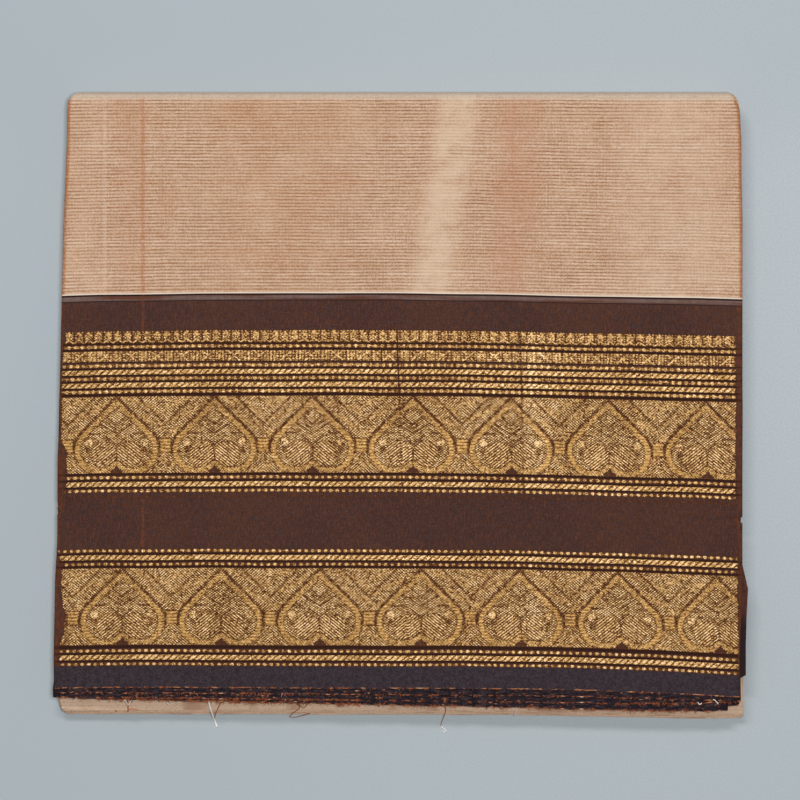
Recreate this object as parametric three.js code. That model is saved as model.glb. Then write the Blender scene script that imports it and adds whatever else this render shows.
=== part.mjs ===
// A folded handloom saree of silk and cotton, lying flat with its border upwards.
//
// The cloth is folded in half across its width, selvedge on selvedge, then in
// half four times along its length, and last in half again away from the
// selvedges. That leaves a flat packet of sixteen panels by four plies:
//   the top ply shows the plain field behind and the broad border in front,
//   the navy selvedges of the next plies step out below the top one in front,
//   the folds down the middle of the cloth lie under them and step out furthest,
//   the outer ply rolls over the back edge and comes round to the underside.
//
// Millimetres. +X runs along the cloth's length, +Y from the selvedges to the
// rolled back edge, +Z up. The origin is the middle of the underside.

import * as THREE from "three";

// The whole cloth and how it is folded.
const CLOTH_LENGTH = 5500;
const CLOTH_WIDTH = 1200;
const PANELS = 16;
const PLIES_ACROSS = 4;
const PANEL = CLOTH_LENGTH / PANELS;
const REACH = CLOTH_WIDTH / PLIES_ACROSS;
const BORDER = 197;

// The packet: the top ply reaches from the back to its selvedge, less what the
// roll at the back takes up, and the border ends at the join with the field.
const HEIGHT = 18;
const BACK = 155.5;
const TAKEN_UP = 3;
const SELVEDGE = BACK - (REACH - TAKEN_UP);
const JOIN = SELVEDGE + BORDER;

// The walls: the thickness of the outer ply and of those under it, the gap
// between them, and the height at which the outer ply's two ends meet behind.
const WALL = 1.2;
const PLY = 1.0;
const LIE = 0.3;
const MEETING = 9.15;

// How a rolled edge is made: a level run, a round corner and a short drop.
const CORNER = 5.5;
const ROLL = { side: 1.8, back: 5.0 };
const ROLL_TURNS = [0, 30, 60, 90];
const SIDE_DROP = 0.6;
const CORNER_SQUARENESS = 2.5;

// The sides of the packet, from front to back: how far each is drawn in from
// half a panel.
const SIDES = [
  { y: -156.0, left: -0.9, right: 1.5 },
  { y: -107.0, left: -0.5, right: 1.1 },
  { y: -60.0, left: 0.3, right: 0.9 },
  { y: -28.0, left: 0.7, right: 0.9 },
  { y: 12.0, left: 1.6, right: 0.9 },
  { y: 72.0, left: 2.9, right: 0.9 },
  { y: 112.0, left: 4.1, right: 1.3 },
  { y: 146.0, left: 5.3, right: 2.5 },
  { y: 155.5, left: 6.1, right: 3.3 },
];

// Nicks in the long edges of the top ply, where an old crease runs out.
const NICKS = [
  { y: -51.0, wide: 2.4, left: 1.3, right: 0.0 },
  { y: -57.5, wide: 1.8, left: 0.2, right: 1.3 },
];

// How far the woven lines bend towards the selvedge: in full at the selvedge,
// not at all at the back.
const LINE_BEND = [
  { x: -172.0, toward: 0.8 },
  { x: -130.0, toward: 0.2 },
  { x: -85.0, toward: 0.0 },
  { x: 50.0, toward: 0.0 },
  { x: 90.0, toward: 0.7 },
  { x: 130.0, toward: 1.8 },
  { x: 155.0, toward: 3.1 },
  { x: 171.0, toward: 4.3 },
];

// Where the top ply is low or high: it sinks towards the selvedges with the plies
// below, and has a sharp crease down its middle and a soft swell beside that.
const SELVEDGE_SINKS = 0.7;
const CREASES = [
  { x: 0, wide: 3, high: 0.35 },
  { x: 18, wide: 22, high: 0.3 },
];

// The plies that lie right under the top one. Each is a fold of the border with
// its navy selvedge in front. left and right are how far its sides are drawn in
// from the packet's, back is where it ends behind, front follows the selvedge.
const STEPPED_PLIES = [
  {
    name: "second_ply",
    left: 3.2,
    right: 3.2,
    back: 150.4,
    front: [
      { x: -168, y: -144.0 },
      { x: 65, y: -145.5 },
      { x: 169, y: -148.5 },
    ],
  },
  {
    name: "third_ply",
    left: 0.0,
    right: 0.0,
    back: 149.4,
    front: [
      { x: -172, y: -146.3 },
      { x: 65, y: -149.0 },
      { x: 172, y: -150.0 },
    ],
  },
  {
    name: "fourth_ply",
    left: 1.4,
    right: 1.0,
    back: 151.6,
    front: [
      { x: -168, y: -146.0 },
      { x: -50, y: -149.0 },
      { x: 65, y: -151.2 },
      { x: 161, y: -152.9 },
      { x: 168, y: -150.4 },
    ],
  },
];

// The hidden plies below them, from the bottom up: two thirds are folds down
// the middle of the cloth, the rest are selvedges, which do not come so far
// forward. thick is a layer's share of the height, left and right are how far
// its sides are drawn in, frontLeft and frontRight are where it ends in front.
const LAYERS = [
  { thick: 1.0, left: 2.0, right: 2.0, frontLeft: -151.8, frontRight: -152.2 },
  { thick: 1.2, left: 1.6, right: 1.4, frontLeft: -154.0, frontRight: -155.8 },
  { thick: 0.9, left: 1.0, right: 0.9, frontLeft: -154.4, frontRight: -156.0 },
  { thick: 1.1, left: 1.5, right: 0.4, frontLeft: -153.7, frontRight: -155.6 },
  { thick: 1.0, left: 1.0, right: 0.2, frontLeft: -154.3, frontRight: -155.9 },
  { thick: 1.2, left: 1.7, right: 0.8, frontLeft: -153.9, frontRight: -155.5 },
  { thick: 0.9, left: 1.1, right: 1.4, frontLeft: -147.2, frontRight: -152.4 },
  { thick: 1.1, left: 1.8, right: 0.7, frontLeft: -146.2, frontRight: -151.0 },
  { thick: 0.9, left: 1.2, right: 1.2, frontLeft: -147.0, frontRight: -152.0 },
];
const HIDDEN_BACK = 151.6;
const GROOVE = 0.9;
const ROUNDING = 3.4;

const COLOURS = {
  field: { color: 0xc39d82, roughness: 0.75, metalness: 0.0 },
  under: { color: 0xbd977c, roughness: 0.8, metalness: 0.0 },
  hidden: { color: 0xae947d, roughness: 0.85, metalness: 0.0 },
  border: { color: 0x4c332d, roughness: 0.6, metalness: 0.1 },
  selvedge: { color: 0x3b3237, roughness: 0.8, metalness: 0.0 },
};

// Reads a table at a place, straight between its rows and level beyond them.
function along(table, place, at, column) {
  const k = table.findIndex((row) => row[place] >= at);
  if (k === 0) return table[0][column];
  if (k < 0) return table.at(-1)[column];
  const [before, after] = [table[k - 1], table[k]];
  return THREE.MathUtils.mapLinear(at, before[place], after[place], before[column], after[column]);
}

const leftSide = (y) => along(SIDES, "y", y, "left") - PANEL / 2;
const rightSide = (y) => PANEL / 2 - along(SIDES, "y", y, "right");

// A closed geometry from its points and triangles.
function solid(points, triangles) {
  const geometry = new THREE.BufferGeometry();
  const places = points.flatMap((point) => point.toArray());
  geometry.setAttribute("position", new THREE.Float32BufferAttribute(places, 3));
  geometry.setIndex(triangles.flat());
  geometry.computeVertexNormals();
  return geometry;
}

// A wall between an outer and an inner grid of points, closed round its rim.
function wallBetween(outer, inner, facingUp) {
  const columns = outer.length;
  const rows = outer[0].length;
  const points = [...outer.flat(), ...inner.flat()];
  const at = (i, j) => i * rows + j;
  const under = (i, j) => columns * rows + at(i, j);
  const triangles = [];
  const quad = (a, b, c, d) => triangles.push([a, b, c], [a, c, d]);
  for (let i = 0; i < columns - 1; i++) {
    for (let j = 0; j < rows - 1; j++) {
      quad(at(i, j), at(i + 1, j), at(i + 1, j + 1), at(i, j + 1));
      quad(under(i, j), under(i, j + 1), under(i + 1, j + 1), under(i + 1, j));
    }
  }
  for (let i = 0; i < columns - 1; i++) {
    quad(at(i, 0), under(i, 0), under(i + 1, 0), at(i + 1, 0));
    quad(at(i, rows - 1), at(i + 1, rows - 1), under(i + 1, rows - 1), under(i, rows - 1));
  }
  for (let j = 0; j < rows - 1; j++) {
    quad(at(0, j), at(0, j + 1), under(0, j + 1), under(0, j));
    quad(at(columns - 1, j), under(columns - 1, j), under(columns - 1, j + 1), at(columns - 1, j + 1));
  }
  return solid(points, facingUp ? triangles : triangles.map(([a, b, c]) => [a, c, b]));
}

// The steps of a rolled edge, from the level run outwards: how far out and how
// far down the face lies, for the outer face or one that lies deeper.
function rollSteps(radius, drop, deeper) {
  const turned = ROLL_TURNS.map((degrees) => {
    const turn = THREE.MathUtils.degToRad(degrees);
    return {
      out: CORNER - radius + (radius - deeper) * Math.sin(turn),
      down: radius - (radius - deeper) * Math.cos(turn),
    };
  });
  return [{ out: 0, down: deeper }, ...turned, { out: CORNER - deeper, down: radius + drop }];
}

// One face of a ply that rolls over some of its edges. across and up hold each
// grid line's place from 0 to 1 and its step into a roll there, 0 where level.
function rolledFace({ across, up, place, height, deeper, drops }) {
  const side = rollSteps(ROLL.side, SIDE_DROP, deeper);
  const back = rollSteps(ROLL.back, drops.back, deeper);
  return across.map((a) =>
    up.map((b) => {
      const step = Math.max(a.step, b.step);
      const flat = place(a, b);
      if (step === 0) return new THREE.Vector3(flat.x, flat.y, height(flat.x, flat.y, deeper));
      const turn = Math.atan2(b.step, a.step);
      const share = b.back ? Math.sin(turn) ** 2 : 0;
      const out = THREE.MathUtils.lerp(side[step].out, back[step].out, share);
      const down = THREE.MathUtils.lerp(side[step].down, back[step].down, share);
      const square = (value) => Math.abs(value) ** (2 / CORNER_SQUARENESS);
      return new THREE.Vector3(
        flat.x + a.way * out * square(Math.cos(turn)),
        flat.y + b.way * out * square(Math.sin(turn)),
        height(flat.x, flat.y, 0, down),
      );
    }),
  );
}

// Grid lines from 0 to 1, with the steps of a roll beyond either end.
function gridLines(places, { rollsAtStart, rollsAtEnd, back = false }) {
  const steps = ROLL_TURNS.map((_, k) => k + 1).concat(ROLL_TURNS.length + 1);
  const start = rollsAtStart ? steps.map((step) => ({ at: 0, step, way: -1, back: false })).reverse() : [];
  const end = rollsAtEnd ? steps.map((step) => ({ at: 1, step, way: 1, back })) : [];
  return [...start, ...places.map((at) => ({ at, step: 0, way: 0, back: false })), ...end];
}

// The places that split a length into equal parts.
const evenly = (count) => Array.from({ length: count + 1 }, (_, k) => k / count);

// The grid lines along the panel, closer together beside the middle crease.
const PANEL_PARTS = 12;
const CREASE_LINES = [-4, 4];
const PANEL_LINES = [...evenly(PANEL_PARTS), ...CREASE_LINES.map((x) => 0.5 + x / PANEL)];
PANEL_LINES.sort((a, b) => a - b);

// The sum of a table's soft bumps at a place.
function bumps(table, place, at, column) {
  const each = table.map((row) => row[column] * Math.exp(-(((at - row[place]) / row.wide) ** 2)));
  return each.reduce((sum, height) => sum + height, 0);
}

// How far the plies sink at a place, evenly from the back to the selvedges.
const sinksAt = (y) => (SELVEDGE_SINKS * (BACK - y)) / (BACK - SELVEDGE);

// The height of the top ply's face, with its creases.
function topHeight(x, y, deeper, down = 0) {
  const creased = down === 0 ? bumps(CREASES, "x", x, "high") : 0;
  return HEIGHT - sinksAt(y) + creased - deeper - down;
}

// Where a point of the top ply's level part lies, between two woven lines.
function onTopPly(front, rear) {
  return (a, b) => {
    const y = THREE.MathUtils.lerp(front, rear, b.at);
    const left = leftSide(y) + bumps(NICKS, "y", y, "left") + CORNER;
    const right = rightSide(y) - bumps(NICKS, "y", y, "right") - CORNER;
    const x = THREE.MathUtils.lerp(left, right, a.at);
    const share = 1 - THREE.MathUtils.smoothstep(y, SELVEDGE, BACK - CORNER);
    return { x, y: y - along(LINE_BEND, "x", x, "toward") * share };
  };
}

// The plain field behind the join, rolled over both sides and the back.
const FIELD_PARTS = 6;

function topField() {
  const across = gridLines(PANEL_LINES, { rollsAtStart: true, rollsAtEnd: true });
  const up = gridLines(evenly(FIELD_PARTS), { rollsAtStart: false, rollsAtEnd: true, back: true });
  const place = onTopPly(JOIN + LIE / 2, BACK - CORNER);
  const drops = { back: HEIGHT - ROLL.back - MEETING - LIE / 2 };
  const face = (deeper) => rolledFace({ across, up, place, height: topHeight, deeper, drops });
  return wallBetween(face(0), face(WALL), true);
}

// The woven border from the join to the selvedge, rolled over both sides. Its
// grid lines follow the nicks in the long edges.
const BORDER_LINES = [0, 0.13, 0.27, 0.4, 0.42, 0.44, 0.455, 0.475, 0.495, 0.62, 0.75, 0.88, 1];

function topBorder() {
  const across = gridLines(PANEL_LINES, { rollsAtStart: true, rollsAtEnd: true });
  const up = gridLines(BORDER_LINES, { rollsAtStart: false, rollsAtEnd: false });
  const place = onTopPly(SELVEDGE, JOIN - LIE / 2);
  const face = (deeper) => rolledFace({ across, up, place, height: topHeight, deeper, drops: { back: 0 } });
  return wallBetween(face(0), face(WALL), true);
}

// The outer ply on the underside: flat where it rests, turned up a little on
// three sides and rolled up the back to meet the top ply.
const UNDER_FRONT = -154.6;
const UNDER_PARTS = 8;

function underField() {
  const across = gridLines(evenly(UNDER_PARTS), { rollsAtStart: true, rollsAtEnd: true });
  const up = gridLines(evenly(UNDER_PARTS), { rollsAtStart: true, rollsAtEnd: true, back: true });
  const place = (a, b) => {
    const y = THREE.MathUtils.lerp(UNDER_FRONT + CORNER, BACK - CORNER, b.at);
    return { x: THREE.MathUtils.lerp(leftSide(y) + CORNER, rightSide(y) - CORNER, a.at), y };
  };
  const drops = { back: MEETING - LIE / 2 - ROLL.back };
  const height = (x, y, deeper, down = 0) => deeper + down;
  const face = (deeper) => rolledFace({ across, up, place, height, deeper, drops });
  return wallBetween(face(0), face(WALL), false);
}

// A closed stack of rings, each a list of points round the packet.
function lofted(rings) {
  const count = rings[0].length;
  const points = rings.flat();
  const triangles = [];
  for (let level = 0; level < rings.length - 1; level++) {
    for (let k = 0; k < count; k++) {
      const next = (k + 1) % count;
      const low = level * count;
      const high = low + count;
      triangles.push([low + k, low + next, high + next], [low + k, high + next, high + k]);
    }
  }
  const top = (rings.length - 1) * count;
  const outline = rings[0].map((p) => new THREE.Vector2(p.x, p.y));
  for (const [a, b, c] of THREE.ShapeUtils.triangulateShape(outline, [])) {
    triangles.push([a, c, b], [top + a, top + b, top + c]);
  }
  return solid(points, triangles);
}

// The outline of a fold seen from above, anticlockwise from the front left: a
// front edge from a table, sides that follow the packet's and a straight back,
// with round corners. inset draws the whole outline in.
const FRONT_POINTS = 14;
const SIDE_POINTS = 8;

function foldOutline({ left, right, back, front, inset }) {
  const leftAt = (y) => leftSide(y) + left + inset;
  const rightAt = (y) => rightSide(y) - right - inset;
  const frontAt = (x) => along(front, "x", x, "y") + inset;
  const rear = back - inset;
  const corner = (x, y, startDegrees) =>
    [0, 30, 60, 90].map((degrees) => {
      const turn = THREE.MathUtils.degToRad(startDegrees + degrees);
      return { x: x + ROUNDING * Math.cos(turn), y: y + ROUNDING * Math.sin(turn) };
    });
  const frontLeft = { x: leftAt(front[0].y) + ROUNDING, y: front[0].y + inset + ROUNDING };
  const frontRight = { x: rightAt(front.at(-1).y) - ROUNDING, y: front.at(-1).y + inset + ROUNDING };
  const between = (from, to, count, point) =>
    evenly(count).slice(1, -1).map((t) => point(THREE.MathUtils.lerp(from, to, t)));
  return [
    ...corner(frontLeft.x, frontLeft.y, 180),
    ...between(frontLeft.x, frontRight.x, FRONT_POINTS, (x) => ({ x, y: frontAt(x) })),
    ...corner(frontRight.x, frontRight.y, 270),
    ...between(frontRight.y, rear - ROUNDING, SIDE_POINTS, (y) => ({ x: rightAt(y), y })),
    ...corner(rightAt(rear) - ROUNDING, rear - ROUNDING, 0),
    ...corner(leftAt(rear) + ROUNDING, rear - ROUNDING, 90),
    ...between(rear - ROUNDING, frontLeft.y, SIDE_POINTS, (y) => ({ x: leftAt(y), y })),
  ];
}

// A ply under the top one, its edges rounded as a fold's are.
const PLY_ROUNDING = PLY / 3;

function steppedPly(row, top) {
  const level = (inset, below) =>
    foldOutline({ ...row, inset }).map((p) => new THREE.Vector3(p.x, p.y, top - below - sinksAt(p.y)));
  return lofted([level(PLY_ROUNDING, PLY), level(0, PLY / 2), level(PLY_ROUNDING, 0)]);
}

// The hidden plies as one rounded solid, with a groove between the layers. Each
// layer stands full between two shares of its own thickness.
const FULL = { from: 0.3, to: 0.75 };

function hiddenPlies(bottom, top) {
  const share = (top - bottom) / LAYERS.reduce((sum, layer) => sum + layer.thick, 0);
  const ringAt = (layer, inset, z) => {
    const front = [
      { x: leftSide(layer.frontLeft), y: layer.frontLeft },
      { x: rightSide(layer.frontRight), y: layer.frontRight },
    ];
    const outline = foldOutline({ ...layer, back: HIDDEN_BACK, front, inset });
    const sinking = (z - bottom) / (top - bottom);
    return outline.map((p) => new THREE.Vector3(p.x, p.y, z - sinksAt(p.y) * sinking));
  };
  const rings = [];
  let z = bottom;
  for (const layer of LAYERS) {
    const thick = layer.thick * share;
    rings.push(
      ringAt(layer, GROOVE, z),
      ringAt(layer, 0, z + thick * FULL.from),
      ringAt(layer, 0, z + thick * FULL.to),
    );
    z += thick;
  }
  rings.push(ringAt(LAYERS.at(-1), GROOVE, z));
  return lofted(rings);
}

// The pieces, from the top ply down.
function piece(name, geometry, finish) {
  const mesh = new THREE.Mesh(geometry, new THREE.MeshStandardMaterial(finish));
  mesh.name = name;
  return mesh;
}

const saree = new THREE.Group();
saree.add(
  piece("top_field", topField(), COLOURS.field),
  piece("top_border", topBorder(), COLOURS.border),
  piece("under_field", underField(), COLOURS.under),
);
let lies = HEIGHT - WALL - LIE;
for (const row of STEPPED_PLIES) {
  saree.add(piece(row.name, steppedPly(row, lies), COLOURS.selvedge));
  lies -= PLY + LIE;
}
saree.add(piece("hidden_plies", hiddenPlies(WALL + LIE, lies), COLOURS.hidden));

// The origin is put in the middle of the underside.
const box = new THREE.Box3().setFromObject(saree);
const middle = box.getCenter(new THREE.Vector3());
for (const mesh of saree.children) mesh.geometry.translate(-middle.x, -middle.y, -box.min.z);

export default saree;
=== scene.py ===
# A folded handloom saree of silk and cotton, lying flat with its border upwards.
#
# One length of cloth, 5.5 m by 1.2 m: a beige field between two broad borders.
# It is folded selvedge on selvedge, halved four times along its length, and
# folded once more away from the selvedges, so the outer ply rolls over the back.
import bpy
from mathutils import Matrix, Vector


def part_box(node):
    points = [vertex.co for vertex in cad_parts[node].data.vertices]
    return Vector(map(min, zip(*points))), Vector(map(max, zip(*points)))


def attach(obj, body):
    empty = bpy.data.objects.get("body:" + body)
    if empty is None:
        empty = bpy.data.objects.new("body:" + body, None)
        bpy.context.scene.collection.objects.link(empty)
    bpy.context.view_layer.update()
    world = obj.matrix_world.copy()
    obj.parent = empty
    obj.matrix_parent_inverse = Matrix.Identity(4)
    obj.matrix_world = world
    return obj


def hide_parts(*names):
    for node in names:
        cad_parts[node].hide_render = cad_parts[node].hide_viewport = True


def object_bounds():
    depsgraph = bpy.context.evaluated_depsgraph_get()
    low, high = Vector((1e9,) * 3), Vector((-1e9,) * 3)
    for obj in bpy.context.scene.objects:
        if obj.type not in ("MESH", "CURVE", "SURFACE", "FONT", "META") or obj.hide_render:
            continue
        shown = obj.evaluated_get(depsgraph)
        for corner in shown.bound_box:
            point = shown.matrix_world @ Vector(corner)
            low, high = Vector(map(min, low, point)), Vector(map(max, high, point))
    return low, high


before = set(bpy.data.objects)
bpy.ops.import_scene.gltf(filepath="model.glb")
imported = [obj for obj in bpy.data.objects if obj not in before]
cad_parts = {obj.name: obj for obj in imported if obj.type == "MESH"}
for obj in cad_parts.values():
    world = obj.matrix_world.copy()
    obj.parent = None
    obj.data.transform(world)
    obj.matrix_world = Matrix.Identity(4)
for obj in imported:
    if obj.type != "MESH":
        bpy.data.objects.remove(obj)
cad_box = [[float(number) for number in corner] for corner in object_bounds()]

import math
import random

import bpy
import numpy as np

# The camera looks straight down on the cloth from well above, with the rolled
# back edge at the top of the picture and the selvedges at the bottom.
MM = 0.001
VIEW_WIDTH = 400 * MM
VIEW_FROM = 2500 * MM
VIEW_CENTRE = (0.9 * MM, 2.75 * MM)
SENSOR = 36.0
camera_data = bpy.data.cameras.new("camera")
camera_data.sensor_width = SENSOR
camera_data.lens = SENSOR * (VIEW_FROM - cad_box[1][2]) / VIEW_WIDTH
camera = bpy.data.objects.new("camera", camera_data)
camera.location = (*VIEW_CENTRE, VIEW_FROM)
bpy.context.scene.collection.objects.link(camera)
bpy.context.scene.camera = camera

# The field: the beige ground of the outer ply, from its join with the border over
# the rolled back edge to mid-height. It is a thin crisp tissue of silk and cotton
# with fine rust weft lines, woven in one with the border, and the plies below show
# through it unevenly.
HEIGHT = 18.0
MIDDLE = HEIGHT / 2
PANEL = 5500 / 16
REACH = 1200 / 4
THICKNESS = 0.28
BACK_STANDS_OUT = 1.4
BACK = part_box("top_field")[1][1] / MM + BACK_STANDS_OUT
SELVEDGE = -141.6
JOIN = 198.0
ROLL_DEPTH = 5.5
ROLL_SQUARENESS = 2.4
# The front of the stack is pressed a little lower than its back.
SINKS = 0.7
# Where the outer ply's fold ends in front, and how round that fold is.
OUTER_FRONT = -156.0
OUTER_FRONT_ROLL = 0.4

# How far the sides of the upper plies are drawn in from half a panel.
SIDES = {
    "y": [-156, -146, -127, -107, -87, -67, -27, -7, 13, 53, 93, 113, 133, 148, 156],
    "left": [-0.1, -0.3, -0.6, -0.2, 0.2, 1.3, 1.4, 2.3, 2.6, 3.5, 4.5, 5.4, 6.2, 6.4, 6.8],
    "right": [0.5, 0.4, 0.7, 0.1, -0.4, -0.4, -0.4, -0.5, -0.4, -0.4, -0.4, 0.1, 0.2, 1.0, 2.4],
}
# How far the woven lines of the top ply bend towards the selvedge, at some distances
# from it.
LINE_BEND = {
    "x": [-172, -150, -125, -100, -75, -50, -20, 10, 40, 70, 100, 130, 150, 171],
    "from_selvedge": [12, 97, 198, 262, 300],
    "toward": [
        [0.0, -0.4, -0.44, -0.42, -0.16, -0.03, -0.03, 0.08, 0.12, 0.51, 1.25, 2.28, 3.34, 4.5],
        [0.8, 0.28, 0.15, -0.05, -0.09, -0.1, 0.0, 0.17, 0.45, 1.0, 1.8, 2.6, 3.1, 3.9],
        [1.7, 1.1, 0.7, 0.44, 0.26, 0.2, 0.2, 0.35, 0.7, 1.3, 1.9, 2.36, 2.66, 3.2],
        [0.8, 0.5, 0.4, 0.3, 0.2, 0.15, 0.1, 0.2, 0.4, 0.8, 1.3, 1.6, 1.8, 2.1],
        [0.0, 0.0, 0.0, 0.0, 0.0, 0.0, 0.0, 0.0, 0.0, 0.0, 0.0, 0.0, 0.0, 0.0],
    ],
}
# Old creases of the top ply: where, how long, wide and high, and their lean.
CREASES = [
    {"x": -0.6, "y": -3, "long": 185, "wide": 1.7, "high": 0.34, "lean": 0.05},
    {"x": 4.5, "y": 40, "long": 150, "wide": 5.0, "high": -0.16, "lean": 0.0},
    {"x": 61.0, "y": 10, "long": 90, "wide": 1.8, "high": -0.24, "lean": 0.03},
    {"x": 67.5, "y": -10, "long": 150, "wide": 5.5, "high": 0.24, "lean": 0.01},
    {"x": -127.5, "y": 60, "long": 130, "wide": 1.4, "high": 0.12, "lean": 0.0},
    {"x": 37.0, "y": 95, "long": 60, "wide": 9.0, "high": 0.18, "lean": -0.1},
    {"x": -84.0, "y": 110, "long": 70, "wide": 7.0, "high": -0.12, "lean": 0.08},
]
# Short creases that run in from a long edge: from the edge inwards.
PINCHES = [
    {"x": -171.5, "y": -51.5, "long": 9, "wide": 1.0, "deep": 0.45, "bow": 0.0},
    {"x": 171.0, "y": -57.3, "long": 13, "wide": 1.1, "deep": 0.55, "bow": 0.10},
]
NICKS = {
    "left": [{"y": -49.8, "wide": 1.5, "deep": 1.1}, {"y": -53.4, "wide": 1.3, "deep": 0.9}],
    "right": [{"y": -57.3, "wide": 1.8, "deep": 1.9}],
}


def smooth(value, low, high):
    """0 below low, 1 above high, and an even curve between."""
    share = np.clip((value - low) / (high - low), 0.0, 1.0)
    return share * share * (3 - 2 * share)


def hump(value, wide):
    """A soft bump of height 1 at 0."""
    return np.exp(-((value / wide) ** 2))


def wander(seed, size, length):
    """A slow uneven wander along an edge: a few sine waves of about the given length."""
    draw = random.Random(seed)
    waves = []
    for k in (1, 2, 3, 5):
        high = draw.uniform(0.5, 1.0) / k
        rate = 2 * math.pi * k * draw.uniform(0.7, 1.3) / length
        waves.append((high, rate, draw.uniform(0, 2 * math.pi)))
    scale = size / sum(wave[0] for wave in waves)
    return lambda place: scale * sum(high * np.sin(place * rate + start) for high, rate, start in waves)


def side_edges(left_y, right_y):
    """The left and right edges of the upper plies, at a place on each."""
    left = np.interp(left_y, SIDES["y"], SIDES["left"]) - PANEL / 2
    right = PANEL / 2 - np.interp(right_y, SIDES["y"], SIDES["right"])
    for nick in NICKS["left"]:
        left = left + nick["deep"] * np.maximum(0, 1 - np.abs(left_y - nick["y"]) / nick["wide"])
    for nick in NICKS["right"]:
        right = right - nick["deep"] * np.maximum(0, 1 - np.abs(right_y - nick["y"]) / nick["wide"])
    return left, right


def top_relief(x, y):
    """How much higher or lower the top ply lies than a flat one: waves, creases and pinches."""
    waves = 0.16 * np.sin(x / 31 + y / 57) * np.sin(y / 43 - x / 90 + 1.0)
    waves = waves + 0.07 * np.sin(x / 13 + 2.0) * np.sin(y / 24 + x / 40)
    for crease in CREASES:
        across = x - crease["x"] - crease["lean"] * (y - crease["y"])
        along = (y - crease["y"]) / (crease["long"] / 2)
        waves = waves + crease["high"] * hump(across, crease["wide"]) * np.exp(-(along ** 4))
    for pinch in PINCHES:
        inward = np.abs(x - pinch["x"])
        middle = pinch["y"] + pinch["bow"] * inward * np.sin(inward / pinch["long"] * 3.0)
        fading = 1 - smooth(inward, 0.3 * pinch["long"], pinch["long"])
        waves = waves - pinch["deep"] * hump(y - middle, pinch["wide"]) * fading
    return waves


def back_turn(half, steps=14):
    """The rolled back edge of a ply that lies half above and half below the middle:
    places, heights and outward directions from above to below."""
    turn = np.linspace(90, -90, steps + 1)[1:-1] * math.pi / 180
    power = 2 / ROLL_SQUARENESS
    deep = ROLL_DEPTH * half / MIDDLE
    y = deep * np.cos(turn) ** power
    z = half * np.sign(np.sin(turn)) * np.abs(np.sin(turn)) ** power
    out_y = np.abs(y / deep) ** (ROLL_SQUARENESS - 1) / deep
    out_z = np.sign(z) * np.abs(z / half) ** (ROLL_SQUARENESS - 1) / half
    size = np.hypot(out_y, out_z)
    return BACK - ROLL_DEPTH + y, z, out_y / size, out_z / size


def ply_rows(half, front, upper, lower, front_below, front_roll):
    """A ply's line from its selvedge over the back and under to the fold in front:
    for each row its place, height, outward direction and distance along the cloth."""
    turned = BACK - ROLL_DEPTH
    rows = [(front + v, MIDDLE + half, 0.0, 1.0) for v in upper if front + v < turned - 0.5]
    rows.append((turned, MIDDLE + half, 0.0, 1.0))
    rows += [(y, MIDDLE + z, a, b) for y, z, a, b in zip(*back_turn(half))]
    rows.append((turned, MIDDLE - half, 0.0, -1.0))
    rows += [(front_below + v, MIDDLE - half, 0.0, -1.0) for v in reversed(lower)]
    for degrees in (0, 30, 60, 90, 120):
        turn = math.radians(degrees)
        y = front_below + front_roll * (1 - math.sin(turn))
        z = MIDDLE - half + front_roll * (1 - math.cos(turn))
        rows.append((y, z, -math.sin(turn), -math.cos(turn)))
    rows = np.array(rows)
    steps = np.hypot(np.diff(rows[:, 0]), np.diff(rows[:, 1]))
    along = np.concatenate([[0.0], np.cumsum(steps)]) + (rows[0, 0] - front)
    return rows, along


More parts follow.
